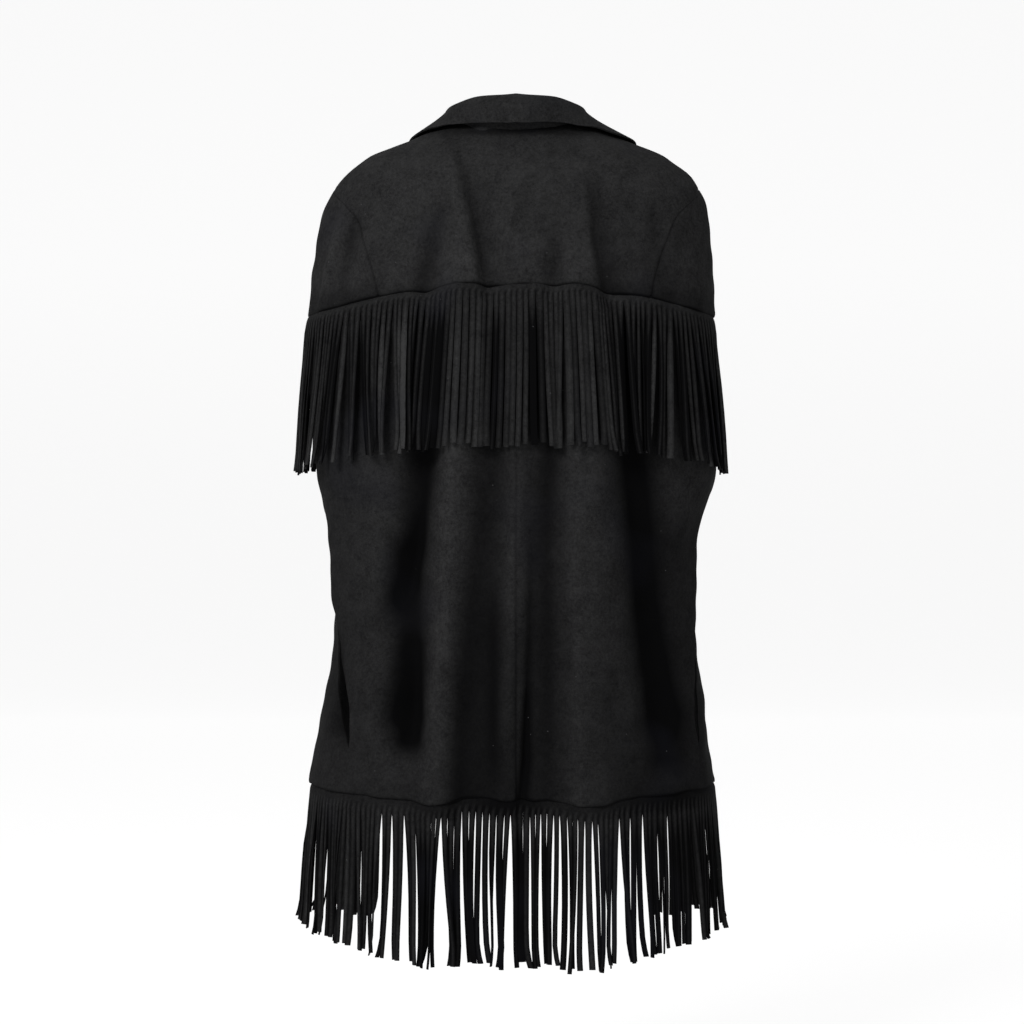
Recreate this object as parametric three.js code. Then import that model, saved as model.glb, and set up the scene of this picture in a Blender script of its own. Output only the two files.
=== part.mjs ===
// A fringed suede cape in the shape it has when it is worn: hollow, and open at the neck, front, arms and hem.
// Millimetres. +Z is up, -Y is the wearer's back and +X the wearer's right.
// The origin is the middle of the neck, level with the inner ends of the shoulder seams.
import * as THREE from "three";

// Thicknesses and clearances
const WALL = 1.6;
const FRINGE_WALL = 1.3;
const SEAM_GAP = 0.3;
const LAID_ON_GAP = 0.4;

// The neck seam is an oval that dips at the back and more at the front.
const NECK = { halfWidth: 66, back: 58, front: 66, backDrop: 14, frontDrop: 72 };

// The yoke seam and the hem, where the two rows of fringe are sewn on
const YOKE_SEAM = { side: -198, back: -172, front: -190 };
const HEM = { side: -672, back: -679, front: -676 };

// From the neck seam (0) to the yoke seam (1): how far out and down the sides, back and front have gone
const YOKE_SECTIONS = [
  { at: 0.0, leftOut: 0, rightOut: 0, sideDrop: 0, backOut: 0, backDrop: 0, frontOut: 0, frontDrop: 0 },
  { at: 0.17, leftOut: 41, rightOut: 43, sideDrop: 17, backOut: 17, backDrop: 23, frontOut: 13, frontDrop: 18 },
  { at: 0.34, leftOut: 82, rightOut: 84, sideDrop: 34, backOut: 31, backDrop: 48, frontOut: 24, frontDrop: 37 },
  { at: 0.42, leftOut: 100, rightOut: 102, sideDrop: 46, backOut: 36, backDrop: 61, frontOut: 28, frontDrop: 46 },
  { at: 0.49, leftOut: 115, rightOut: 116, sideDrop: 61, backOut: 40, backDrop: 73, frontOut: 32, frontDrop: 55 },
  { at: 0.56, leftOut: 125, rightOut: 125, sideDrop: 79, backOut: 43, backDrop: 84, frontOut: 35, frontDrop: 63 },
  { at: 0.64, leftOut: 131, rightOut: 129, sideDrop: 100, backOut: 46, backDrop: 97, frontOut: 38, frontDrop: 73 },
  { at: 0.75, leftOut: 138, rightOut: 132, sideDrop: 130, backOut: 50, backDrop: 115, frontOut: 42, frontDrop: 87 },
  { at: 0.87, leftOut: 143, rightOut: 134, sideDrop: 163, backOut: 52, backDrop: 137, frontOut: 45, frontDrop: 103 },
  { at: 1.0, leftOut: 147, rightOut: 136, sideDrop: 198, backOut: 54, backDrop: 158, frontOut: 46, frontDrop: 118 },
];

// From the yoke seam (0) to the hem (1): half widths, half depths, and how far behind the side the side seams run
const BODY_SECTIONS = [
  { at: 0.0, left: 213, right: 202, back: 112, front: 112, seamLeft: 5, seamRight: 5 },
  { at: 0.17, left: 209, right: 202, back: 117, front: 118, seamLeft: 5, seamRight: 5 },
  { at: 0.34, left: 203, right: 203, back: 121, front: 122, seamLeft: 5, seamRight: 5 },
  { at: 0.4, left: 198, right: 195, back: 122, front: 123, seamLeft: 5, seamRight: 5 },
  { at: 0.46, left: 193, right: 186, back: 123, front: 124, seamLeft: 5, seamRight: 5 },
  { at: 0.57, left: 191, right: 186, back: 125, front: 126, seamLeft: 6, seamRight: 6 },
  { at: 0.7, left: 189, right: 189, back: 128, front: 129, seamLeft: 12, seamRight: 9 },
  { at: 0.82, left: 196, right: 193, back: 132, front: 133, seamLeft: 22, seamRight: 14 },
  { at: 0.92, left: 203, right: 197, back: 136, front: 137, seamLeft: 28, seamRight: 18 },
  { at: 1.0, left: 210, right: 203, back: 139, front: 140, seamLeft: 28, seamRight: 19 },
];

// Ring shape: 2 is an ellipse, and more is squarer.
const SQUARENESS = { neck: 2.05, yoke: 2.25, hem: 2.3 };

// The armhole seam: degrees from the side, to the back and to the front, by the yoke sections' scale
const ARMHOLE = [
  { at: 0.51, back: 0.4, front: 0.4 },
  { at: 0.57, back: 14, front: 12 },
  { at: 0.64, back: 22, front: 20 },
  { at: 0.75, back: 27, front: 25 },
  { at: 0.87, back: 31, front: 29 },
  { at: 1.0, back: 34, front: 32 },
];

// The side seams are left open for the arms between these fractions of the body's length.
const ARM_OPENING = { top: 0.37, bottom: 0.91, gap: 36, tuck: 10, tuckReach: 45 };

// How far each front edge hangs from the middle: the fronts hang wide open.
const FRONT_EDGE = { neck: 44, yoke: 82, hem: 140 };

// Folds of the back, read from the top down and placed by their distance to the right of the middle.
// A positive height is a ridge and a negative one a valley. Left and right are its widths on either side.
const BACK_FOLDS = [
  { fold: "neck to left hem valley", z: -30, place: -64, height: 0, left: 8, right: 10 },
  { fold: "neck to left hem valley", z: -100, place: -43, height: -4, left: 7, right: 13 },
  { fold: "neck to left hem valley", z: -135, place: -32, height: -5, left: 7, right: 14 },
  { fold: "neck to left hem valley", z: -170, place: -27, height: -5, left: 8, right: 14 },
  { fold: "neck to left hem valley", z: -346, place: -28, height: -5, left: 11, right: 12 },
  { fold: "neck to left hem valley", z: -520, place: -45, height: -4, left: 12, right: 12 },
  { fold: "neck to left hem valley", z: -690, place: -60, height: -5, left: 12, right: 14 },
  { fold: "left shoulder blade valley", z: -70, place: -74, height: 0, left: 8, right: 8 },
  { fold: "left shoulder blade valley", z: -174, place: -93, height: -5, left: 9, right: 9 },
  { fold: "left shoulder blade valley", z: -260, place: -92, height: -10, left: 10, right: 10 },
  { fold: "left shoulder blade valley", z: -346, place: -95, height: -15, left: 9, right: 10 },
  { fold: "left shoulder blade valley", z: -380, place: -102, height: -14, left: 9, right: 10 },
  { fold: "left shoulder blade valley", z: -430, place: -110, height: -13, left: 9, right: 11 },
  { fold: "left shoulder blade valley", z: -468, place: -118, height: -9, left: 8, right: 10 },
  { fold: "left shoulder blade valley", z: -505, place: -131, height: 0, left: 8, right: 10 },
  { fold: "left skirt hollow", z: -400, place: -98, height: 0, left: 8, right: 12 },
  { fold: "left skirt hollow", z: -484, place: -104, height: -9, left: 9, right: 12 },
  { fold: "left skirt hollow", z: -540, place: -108, height: -14, left: 10, right: 13 },
  { fold: "left skirt hollow", z: -590, place: -110, height: -18, left: 9, right: 14 },
  { fold: "left skirt hollow", z: -612, place: -110, height: -16, left: 9, right: 14 },
  { fold: "left skirt hollow", z: -640, place: -110, height: 0, left: 12, right: 15 },
  { fold: "left skirt ridge", z: -110, place: -52, height: 0, left: 13, right: 13 },
  { fold: "left skirt ridge", z: -170, place: -56, height: 4, left: 12, right: 14 },
  { fold: "left skirt ridge", z: -346, place: -61, height: 8, left: 13, right: 15 },
  { fold: "left skirt ridge", z: -500, place: -70, height: 8, left: 13, right: 15 },
  { fold: "left skirt ridge", z: -690, place: -78, height: 7, left: 16, right: 16 },
  { fold: "middle ridge", z: -200, place: -1, height: 0, left: 10, right: 10 },
  { fold: "middle ridge", z: -346, place: 0, height: 4, left: 10, right: 9 },
  { fold: "middle ridge", z: -520, place: -4, height: 5, left: 10, right: 9 },
  { fold: "middle ridge", z: -680, place: -12, height: 3, left: 11, right: 11 },
  { fold: "middle valley", z: -90, place: 42, height: 0, left: 9, right: 9 },
  { fold: "middle valley", z: -170, place: 34, height: -4, left: 10, right: 10 },
  { fold: "middle valley", z: -346, place: 22, height: -5, left: 9, right: 12 },
  { fold: "middle valley", z: -460, place: 16, height: -7, left: 6, right: 14 },
  { fold: "middle valley", z: -560, place: 12, height: -9, left: 5, right: 14 },
  { fold: "middle valley", z: -630, place: 8, height: -10, left: 5, right: 12 },
  { fold: "middle valley", z: -690, place: 5, height: -9, left: 6, right: 12 },
  { fold: "right skirt ridge", z: -100, place: 56, height: 0, left: 12, right: 14 },
  { fold: "right skirt ridge", z: -170, place: 60, height: 4, left: 12, right: 18 },
  { fold: "right skirt ridge", z: -346, place: 65, height: 8, left: 16, right: 32 },
  { fold: "right skirt ridge", z: -500, place: 68, height: 9, left: 17, right: 32 },
  { fold: "right skirt ridge", z: -690, place: 72, height: 8, left: 22, right: 32 },
  { fold: "right shoulder blade valley", z: -50, place: 68, height: 0, left: 3, right: 9 },
  { fold: "right shoulder blade valley", z: -90, place: 75, height: -5, left: 3.5, right: 12 },
  { fold: "right shoulder blade valley", z: -170, place: 86, height: -8, left: 6, right: 17 },
  { fold: "right shoulder blade valley", z: -260, place: 102, height: -10, left: 10, right: 18 },
  { fold: "right shoulder blade valley", z: -346, place: 117, height: -14, left: 13, right: 17 },
  { fold: "right shoulder blade valley", z: -420, place: 125, height: -16, left: 14, right: 16 },
  { fold: "right shoulder blade valley", z: -500, place: 130, height: -17, left: 15, right: 15 },
  { fold: "right shoulder blade valley", z: -560, place: 134, height: -18, left: 16, right: 14 },
  { fold: "right shoulder blade valley", z: -620, place: 140, height: -15, left: 15, right: 14 },
  { fold: "right shoulder blade valley", z: -655, place: 143, height: 0, left: 18, right: 16 },
];

// Folds of the fronts, placed and measured in degrees round from the middle of the back
const FRONT_FOLDS = [
  { fold: "left side valley", z: -260, place: -108, height: 0, left: 6, right: 6 },
  { fold: "left side valley", z: -420, place: -110, height: -6, left: 6, right: 6 },
  { fold: "left side valley", z: -690, place: -109, height: -8, left: 7, right: 7 },
  { fold: "left front ridge", z: -150, place: -118, height: 0, left: 6, right: 6 },
  { fold: "left front ridge", z: -340, place: -121, height: 5, left: 6, right: 6 },
  { fold: "left front ridge", z: -690, place: -123, height: 8, left: 6, right: 6 },
  { fold: "left front valley", z: -90, place: -146, height: 0, left: 7, right: 7 },
  { fold: "left front valley", z: -190, place: -142, height: -5, left: 6, right: 6 },
  { fold: "left front valley", z: -690, place: -134, height: -9, left: 4, right: 4 },
  { fold: "right side valley", z: -240, place: 106, height: 0, left: 6, right: 6 },
  { fold: "right side valley", z: -400, place: 107, height: -5, left: 6, right: 6 },
  { fold: "right side valley", z: -690, place: 108, height: -9, left: 7, right: 7 },
  { fold: "right front ridge", z: -150, place: 116, height: 0, left: 6, right: 6 },
  { fold: "right front ridge", z: -360, place: 119, height: 6, left: 6, right: 6 },
  { fold: "right front ridge", z: -690, place: 122, height: 7, left: 6, right: 6 },
  { fold: "right front valley", z: -80, place: 143, height: 0, left: 7, right: 7 },
  { fold: "right front valley", z: -210, place: 140, height: -6, left: 6, right: 6 },
  { fold: "right front valley", z: -690, place: 134, height: -8, left: 4, right: 4 },
];

// A ridge lifts the yoke seam a little and lets the hem drop, by this share of its height.
const FOLD_LIFT = { yoke: 0.5, hem: -0.55 };

// The collar, by degrees round from the middle of the back: how high and how far out it rolls over, and how far
// along the shoulders its edge reaches and stands off
const COLLAR = [
  { at: 0, rise: 34, lean: 3, reachLeft: 0, reachRight: 0, standOff: 12 },
  { at: 35, rise: 29, lean: 3, reachLeft: 4, reachRight: 4, standOff: 10 },
  { at: 60, rise: 19, lean: 3, reachLeft: 14, reachRight: 18, standOff: 7 },
  { at: 78, rise: 14, lean: 2, reachLeft: 28, reachRight: 42, standOff: 5 },
  { at: 92, rise: 12, lean: 2, reachLeft: 42, reachRight: 60, standOff: 4 },
  { at: 115, rise: 12, lean: 3, reachLeft: 60, reachRight: 68, standOff: 4 },
  { at: 145, rise: 11, lean: 5, reachLeft: 66, reachRight: 67, standOff: 4 },
];
const COLLAR_ROLL = { half: 3.6, high: 4.4 };

// The fringe
const YOKE_FRINGE = { top: 1, strip: 8, length: 160, strandWidth: 6.2, strandGap: 1.9, steps: 3 };
const HEM_FRINGE = { top: 0.5, strip: 16, length: 160, strandWidth: 5.6, strandGap: 2.5, steps: 2 };
const YOKE_FRINGE_FAN = { sideways: 15, centre: 66, spread: 24, loose: 4 };
const HEM_FRINGE_FALL = { outwards: 8, sideShorter: 14 };

const SUEDE = { colour: 0x1b1b1c, roughness: 0.95, metalness: 0 };

const DEGREE = Math.PI / 180;
const lerp = THREE.MathUtils.lerp;
const smoothstep = THREE.MathUtils.smoothstep;

// A table's row at a place between its rows, every column on a smooth curve through the given values
function readTable(rows, at) {
  const last = rows.length - 1;
  const here = THREE.MathUtils.clamp(at, rows[0].at, rows[last].at);
  let i = 0;
  while (i < last - 1 && rows[i + 1].at < here) i++;
  const [before, from, to, after] = [rows[Math.max(i - 1, 0)], rows[i], rows[i + 1], rows[Math.min(i + 2, last)]];
  const span = to.at - from.at;
  const t = (here - from.at) / span;
  const read = { at: here };
  for (const column of Object.keys(from)) {
    if (column === "at") continue;
    const slopeFrom = ((to[column] - before[column]) / (to.at - before.at)) * span;
    const slopeTo = ((after[column] - from[column]) / (after.at - from.at)) * span;
    read[column] =
      (2 * t ** 3 - 3 * t ** 2 + 1) * from[column] +
      (t ** 3 - 2 * t ** 2 + t) * slopeFrom +
      (-2 * t ** 3 + 3 * t ** 2) * to[column] +
      (t ** 3 - t ** 2) * slopeTo;
  }
  return read;
}

// How far the folds of one table push the cloth out at a place
function foldHeight(table, place, z) {
  let height = 0;
  for (let i = 0; i < table.length - 1; i++) {
    const [upper, lower] = [table[i], table[i + 1]];
    if (upper.fold !== lower.fold || z > upper.z || z <= lower.z) continue;
    const t = (upper.z - z) / (upper.z - lower.z);
    const eased = smoothstep(t, 0, 1);
    const off = place - lerp(upper.place, lower.place, t);
    const width = off < 0 ? lerp(upper.left, lower.left, t) : lerp(upper.right, lower.right, t);
    height += lerp(upper.height, lower.height, eased) * Math.exp(-((off / width) ** 2));
  }
  return height;
}

// The ring of cloth at a place down the cape: -1 is the neck seam, 0 the yoke seam and 1 the hem.
function ringAt(down) {
  if (down < 0) {
    const row = readTable(YOKE_SECTIONS, down + 1);
    return {
      left: NECK.halfWidth + row.leftOut,
      right: NECK.halfWidth + row.rightOut,
      back: NECK.back + row.backOut,
      front: NECK.front + row.frontOut,
      square: lerp(SQUARENESS.neck, SQUARENESS.yoke, row.at),
      level: { side: -row.sideDrop, back: -NECK.backDrop - row.backDrop, front: -NECK.frontDrop - row.frontDrop },
      levelBend: lerp(2, 3, row.at),
      lift: FOLD_LIFT.yoke * row.at ** 2,
    };
  }
  const row = readTable(BODY_SECTIONS, down);
  return {
    ...row,
    square: lerp(SQUARENESS.yoke, SQUARENESS.hem, down),
    level: {
      side: lerp(YOKE_SEAM.side, HEM.side, down),
      back: lerp(YOKE_SEAM.back, HEM.back, down),
      front: lerp(YOKE_SEAM.front, HEM.front, down),
    },
    levelBend: 3,
    lift: lerp(FOLD_LIFT.yoke, FOLD_LIFT.hem, down),
  };
}

// A smooth ring with no folds. Angles run from the middle of the back, positive to the wearer's right.
function smoothPlace(angle, down) {
  const ring = ringAt(down);
  const [across, backward] = [Math.sin(angle), Math.cos(angle)];
  const halfWidth = across > 0 ? ring.right : ring.left;
  const [halfDepth, end] = backward > 0 ? [ring.back, ring.level.back] : [ring.front, ring.level.front];
  const n = ring.square;
  const radius = (Math.abs(across / halfWidth) ** n + Math.abs(backward / halfDepth) ** n) ** (-1 / n);
  const [x, y] = [radius * across, -radius * backward];
  const z = lerp(ring.level.side, end, Math.abs(y / halfDepth) ** ring.levelBend);
  const outward = new THREE.Vector3(
    (Math.sign(x) * Math.abs(x / halfWidth) ** (n - 1)) / halfWidth,
    (Math.sign(y) * Math.abs(y / halfDepth) ** (n - 1)) / halfDepth,
    0,
  ).normalize();
  return { point: new THREE.Vector3(x, y, z), outward, ring };
}

function foldsAt({ x, y, z }) {
  if (y < 0) return foldHeight(BACK_FOLDS, x, z);
  return foldHeight(FRONT_FOLDS, Math.atan2(x, -y) / DEGREE, z);
}

// Degrees from the middle of the back to the side seam
const sideSeamAngle = (down, side) => {
  const row = readTable(BODY_SECTIONS, down);
  return (90 - (side > 0 ? row.seamRight : row.seamLeft)) * DEGREE * side;
};

// How wide the arm opening is at a height, from 0 to 1
function openness(down) {
  const t = (down - ARM_OPENING.top) / (ARM_OPENING.bottom - ARM_OPENING.top);
  return t <= 0 || t >= 1 ? 0 : Math.sin(Math.PI * t) ** 0.75;
}

// The middle of the cloth's thickness
function clothPoint(angle, down) {
  const { point, outward, ring } = smoothPlace(angle, down);
  const fold = foldsAt(point);
  let tuck = 0;
  if (down > 0) {
    const side = Math.sign(angle) || 1;
    const pastSeam = (angle - sideSeamAngle(down, side)) * side * Math.hypot(point.x, point.y);
    if (pastSeam > 0) tuck = ARM_OPENING.tuck * openness(down) * Math.exp(-((pastSeam / ARM_OPENING.tuckReach) ** 2));
  }
  return point.clone().addScaledVector(outward, fold - tuck).setZ(point.z + fold * ring.lift);
}

// The outward normal of the cloth
function clothNormal(angle, down) {
  const step = 0.004;
  const [above, below] = [Math.max(down - step, -1), Math.min(down + step, 1)];
  const along = clothPoint(angle + step, down).sub(clothPoint(angle - step, down));
  const downward = clothPoint(angle, below).sub(clothPoint(angle, above));
  return downward.cross(along).normalize();
}

// A closed wall of cloth through a grid of points and normals, its rows running down and its columns to the right
function wallGeometry(grid, thickness) {
  const [rows, columns] = [grid.length, grid[0].length];
  const positions = [];
  for (const offset of [thickness / 2, -thickness / 2])
    for (const row of grid)
      for (const { point, normal } of row) positions.push(...point.clone().addScaledVector(normal, offset).toArray());
  const outer = (i, j) => i * columns + j;
  const inner = (i, j) => (rows + i) * columns + j;
  const index = [];
  const quad = (a, b, c, d) => index.push(a, b, c, a, c, d);
  const apart = (i, j, k, l) => grid[i][j].point.distanceTo(grid[k][l].point);
  for (let i = 0; i < rows - 1; i++)
    for (let j = 0; j < columns - 1; j++) {
      const corners = [[i, j], [i + 1, j], [i + 1, j + 1], [i, j + 1]];
      if (apart(i, j + 1, i + 1, j) < apart(i, j, i + 1, j + 1)) corners.push(corners.shift());
      quad(...corners.map(([k, l]) => outer(k, l)));
      const [a, b, c, d] = corners.map(([k, l]) => inner(k, l));
      quad(a, d, c, b);
    }
  for (let j = 0; j < columns - 1; j++) {
    quad(outer(0, j), outer(0, j + 1), inner(0, j + 1), inner(0, j));
    quad(outer(rows - 1, j), inner(rows - 1, j), inner(rows - 1, j + 1), outer(rows - 1, j + 1));
  }
  for (let i = 0; i < rows - 1; i++) {
    quad(outer(i + 1, 0), outer(i, 0), inner(i, 0), inner(i + 1, 0));
    quad(outer(i + 1, columns - 1), inner(i + 1, columns - 1), inner(i, columns - 1), outer(i, columns - 1));
  }
  return meshGeometry(positions, index);
}

function meshGeometry(positions, index) {
  const geometry = new THREE.BufferGeometry();
  geometry.setAttribute("position", new THREE.Float32BufferAttribute(positions, 3));
  geometry.setIndex(index);
  geometry.computeVertexNormals();
  return geometry;
}

// Draws the edges of a grid back from its seams by half the seam gap
function drawBack(grid) {
  const step = (from, to) => to.point.clone().sub(from.point).setLength(SEAM_GAP / 2);
  const moves = [];
  const last = { row: grid.length - 1, column: grid[0].length - 1 };
  grid.forEach((row) => {
    moves.push([row[0], step(row[0], row[1])], [row[last.column], step(row[last.column], row[last.column - 1])]);
  });
  grid[0].forEach((spot, j) => moves.push([spot, step(spot, grid[1][j])]));
  grid[last.row].forEach((spot, j) => moves.push([spot, step(spot, grid[last.row - 1][j])]));
  for (const [spot, move] of moves) spot.point.add(move);
  return grid;
}

// A panel between two edges, which are angles that change down the cape. Its columns start from the places that
// all panels share at the yoke seam, so that the edges of neighbours match.
function panelGrid(downs, leftEdge, rightEdge) {
  const [from, to] = [leftEdge(0), rightEdge(0)];
  const inside = SEAM_COLUMNS.filter((angle) => angle > from + SAME_ANGLE && angle < to - SAME_ANGLE);
  const shares = [0, ...inside.map((angle) => (angle - from) / (to - from)), 1];
  return drawBack(
    downs.map((down) =>
      shares.map((share) => {
        const angle = lerp(leftEdge(down), rightEdge(down), share);
        return { angle, point: clothPoint(angle, down), normal: clothNormal(angle, down) };
      }),
    ),
  );
}

const cape = new THREE.Group();
const suede = () =>
  new THREE.MeshStandardMaterial({ color: SUEDE.colour, roughness: SUEDE.roughness, metalness: SUEDE.metalness });

function addPiece(name, geometry) {
  const mesh = new THREE.Mesh(geometry, suede());
  mesh.name = name;
  cape.add(mesh);
}

// Seams as angles
const armhole = (down, part) => readTable(ARMHOLE, down + 1)[part] * DEGREE;
const shoulderTip = ARMHOLE[0].at - 1;
const backArmhole = (down) => Math.PI / 2 - (down < shoulderTip ? 0 : armhole(down, "back"));
const frontArmhole = (down) => Math.PI / 2 + (down < shoulderTip ? 0 : armhole(down, "front"));

function frontEdge(down) {
  const { neck, yoke, hem } = FRONT_EDGE;
  const x = down < 0 ? lerp(neck, yoke, down + 1) : lerp(yoke, hem, down);
  const ring = ringAt(down);
  const y = ring.front * (1 - (x / ring.right) ** ring.square) ** (1 / ring.square);
  return Math.PI - Math.atan2(x, y);
}

const centreBack = () => 0;

// The angles of the panels' columns at the yoke seam, from the middle of the back to the front edges
const SEAM_COLUMNS = [];
const SAME_ANGLE = 0.001;
const columnRuns = [
  { from: centreBack(), to: backArmhole(0), columns: 15 },
  { from: backArmhole(0), to: sideSeamAngle(0, 1), columns: 5 },
  { from: sideSeamAngle(0, 1), to: frontArmhole(0), columns: 6 },
  { from: frontArmhole(0), to: frontEdge(0), columns: 6 },
];
for (const { from, to, columns } of columnRuns)
  for (let i = 0; i <= columns; i++) {
    const angle = lerp(from, to, i / columns);
    SEAM_COLUMNS.push(angle, -angle);
  }
SEAM_COLUMNS.sort((a, b) => a - b);
for (let i = SEAM_COLUMNS.length - 1; i > 0; i--)
  if (SEAM_COLUMNS[i] - SEAM_COLUMNS[i - 1] < SAME_ANGLE) SEAM_COLUMNS.splice(i, 1);

// Half the arm opening as an angle, at the side seam
const halfOpening = (down, side) => {
  const seam = smoothPlace(sideSeamAngle(down, side), down).point;
  return (ARM_OPENING.gap * openness(down)) / 2 / Math.hypot(seam.x, seam.y);
};

const YOKE_ROWS = [0, 0.12, 0.24, 0.37, 0.45, 0.51, 0.57, 0.65, 0.75, 0.87, 1].map((v) => v - 1);
const CAP_ROWS = YOKE_ROWS.filter((down) => down >= shoulderTip);
const BODY_ROWS = [0, 0.1, 0.2, 0.3, 0.37, 0.45, 0.54, 0.63, 0.72, 0.81, 0.88, 0.94, 1];
const COLLAR_ROWS = [0, 0.2, 0.36, 0.43, 0.5, 0.58, 0.78, 1];
const flipped = (edge) => (down) => -edge(down);
const grids = {};

function addPanel(name, rows, leftEdge, rightEdge) {
  grids[name] = panelGrid(rows, leftEdge, rightEdge);
  addPiece(name, wallGeometry(grids[name], WALL));
}

function addYoke() {
  addPanel("back_yoke", YOKE_ROWS, flipped(backArmhole), backArmhole);
  addPanel("front_yoke_right", YOKE_ROWS, frontArmhole, frontEdge);
  addPanel("front_yoke_left", YOKE_ROWS, flipped(frontEdge), flipped(frontArmhole));
  addPanel("shoulder_cap_right", CAP_ROWS, backArmhole, frontArmhole);
  addPanel("shoulder_cap_left", CAP_ROWS, flipped(frontArmhole), flipped(backArmhole));
}

function addBody() {
  const backEdge = (side) => (down) => sideSeamAngle(down, side) - side * halfOpening(down, side);
  const forwardEdge = (side) => (down) => sideSeamAngle(down, side) + side * halfOpening(down, side);
  addPanel("back_body_left", BODY_ROWS, backEdge(-1), centreBack);
  addPanel("back_body_right", BODY_ROWS, centreBack, backEdge(1));
  addPanel("front_body_right", BODY_ROWS, forwardEdge(1), frontEdge);
  addPanel("front_body_left", BODY_ROWS, flipped(frontEdge), forwardEdge(-1));
}

// Where the collar's edge comes, above the cloth that it lies over
function collarEdge(angle, row) {
  const reach = angle > 0 ? row.reachRight : row.reachLeft;
  const step = 0.01;
  let [down, gone] = [-1, 0];
  while (gone < reach && down < 0) {
    gone += clothPoint(angle, down).distanceTo(clothPoint(angle, down + step));
    down += step;
  }
  return clothPoint(angle, down).addScaledVector(clothNormal(angle, down), row.standOff);
}

// The collar stands up from the neck seam, rolls over, and its leaf falls over the shoulders.
function collarCurve(angle) {
  const row = readTable(COLLAR, Math.abs(angle) / DEGREE);
  const { point, outward } = smoothPlace(angle, -1);
  const step = 0.01;
  const along = smoothPlace(angle + step, -1).point.sub(smoothPlace(angle - step, -1).point);
  const away = clothNormal(angle, -1).cross(along).normalize();
  const foot = point.clone().addScaledVector(away, WALL / 2 + 2 * SEAM_GAP);
  const place = (out, up) => foot.clone().addScaledVector(outward, out).setZ(foot.z + up);
  const { half, high } = COLLAR_ROLL;
  return new THREE.CatmullRomCurve3([
    foot,
    place(row.lean, row.rise - high),
    place(row.lean + half, row.rise),
    place(row.lean + 2 * half, row.rise - high),
    collarEdge(angle, row),
  ]);
}

function addCollar() {
  const neckEdges = ["front_yoke_left", "back_yoke", "front_yoke_right"].map((name) => grids[name][0]);
  const curves = neckEdges.flatMap((edge, i) => (i ? edge.slice(1) : edge)).map(({ angle }) => collarCurve(angle));
  const grid = COLLAR_ROWS.map((share) => curves.map((curve) => ({ point: curve.getPoint(share) })));
  grid.forEach((row, i) =>
    row.forEach((spot, j) => {
      const along = row[Math.min(j + 1, row.length - 1)].point.clone().sub(row[Math.max(j - 1, 0)].point);
      spot.normal = curves[j].getTangent(COLLAR_ROWS[i]).cross(along).normalize();
    }),
  );
  addPiece("collar", wallGeometry(grid, WALL));
}

// A rail is the bottom edge of a panel, from which a fringe hangs. Its places are told by their distance along it.
function railUnder(name) {
  const row = grids[name].at(-1);
  const reached = [0];
  for (let i = 1; i < row.length; i++) reached.push(reached[i - 1] + row[i].point.distanceTo(row[i - 1].point));
  return {
    length: reached.at(-1),
    at(distance) {
      let i = 0;
      while (i < row.length - 2 && reached[i + 1] < distance) i++;
      const t = (distance - reached[i]) / (reached[i + 1] - reached[i]);
      const normal = row[i].normal.clone().lerp(row[i + 1].normal, t);
      return {
        angle: lerp(row[i].angle, row[i + 1].angle, t),
        point: row[i].point.clone().lerp(row[i + 1].point, t),
        outward: normal.setZ(0).normalize(),
      };
    },
  };
}

// A repeatable spread of numbers from -1 to 1
const scatter = (n) => {
  const s = Math.sin(n * 12.9898) * 43758.5453;
  return 2 * (s - Math.floor(s)) - 1;
};

// Where a strand of the yoke fringe hangs: over the body's ridges, and a little spread at the sides
function yokeStrand({ angle }, fallen, seed) {
  const { point: root } = smoothPlace(angle, 0);
  const [sideLength, backLength] = [YOKE_SEAM.side - HEM.side, YOKE_SEAM.back - HEM.back];
  const down = fallen / lerp(sideLength, backLength, Math.abs(root.y) / BODY_SECTIONS[0].back);
  const share = fallen / YOKE_FRINGE.length;
  const fan = Math.exp(-(((Math.abs(angle) / DEGREE - YOKE_FRINGE_FAN.centre) / YOKE_FRINGE_FAN.spread) ** 2));
  const sideways = Math.sign(angle) * YOKE_FRINGE_FAN.sideways * fan * share ** 1.4;
  const turned = angle + sideways / Math.hypot(root.x, root.y);
  const { point, outward } = smoothPlace(turned, down);
  const overhang = Math.max(0, smoothPlace(turned, 0).point.sub(point).setZ(0).dot(outward));
  const loose = YOKE_FRINGE_FAN.loose + 0.8 * scatter(seed);
  const clear = (WALL + FRINGE_WALL) / 2 + LAID_ON_GAP + overhang + share * loose;
  const besides = [-0.03, 0, 0.03].map((aside) => foldsAt(smoothPlace(turned + aside, down).point));
  const fold = Math.max(foldsAt(root), ...besides);
  return {
    point: point.clone().addScaledVector(outward, fold + clear).setZ(point.z + foldsAt(root) * FOLD_LIFT.yoke),
    outward,
  };
}

// Where a strand of the hem fringe hangs: straight down, a little out, leaning with its neighbours
function hemStrand({ angle, point, outward }, fallen, seed) {
  const share = fallen / HEM_FRINGE.length;
  const sideways = share * (3.4 * Math.sin(angle * 23 + 0.6) + 2.2 * Math.sin(angle * 41));
  const tangent = new THREE.Vector3(-outward.y, outward.x, 0);
  return {
    point: point
      .clone()
      .addScaledVector(outward, share * (HEM_FRINGE_FALL.outwards + 2 * scatter(seed + 7)))
      .addScaledVector(tangent, sideways)
      .setZ(point.z - fallen),
    outward,
  };
}

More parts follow.
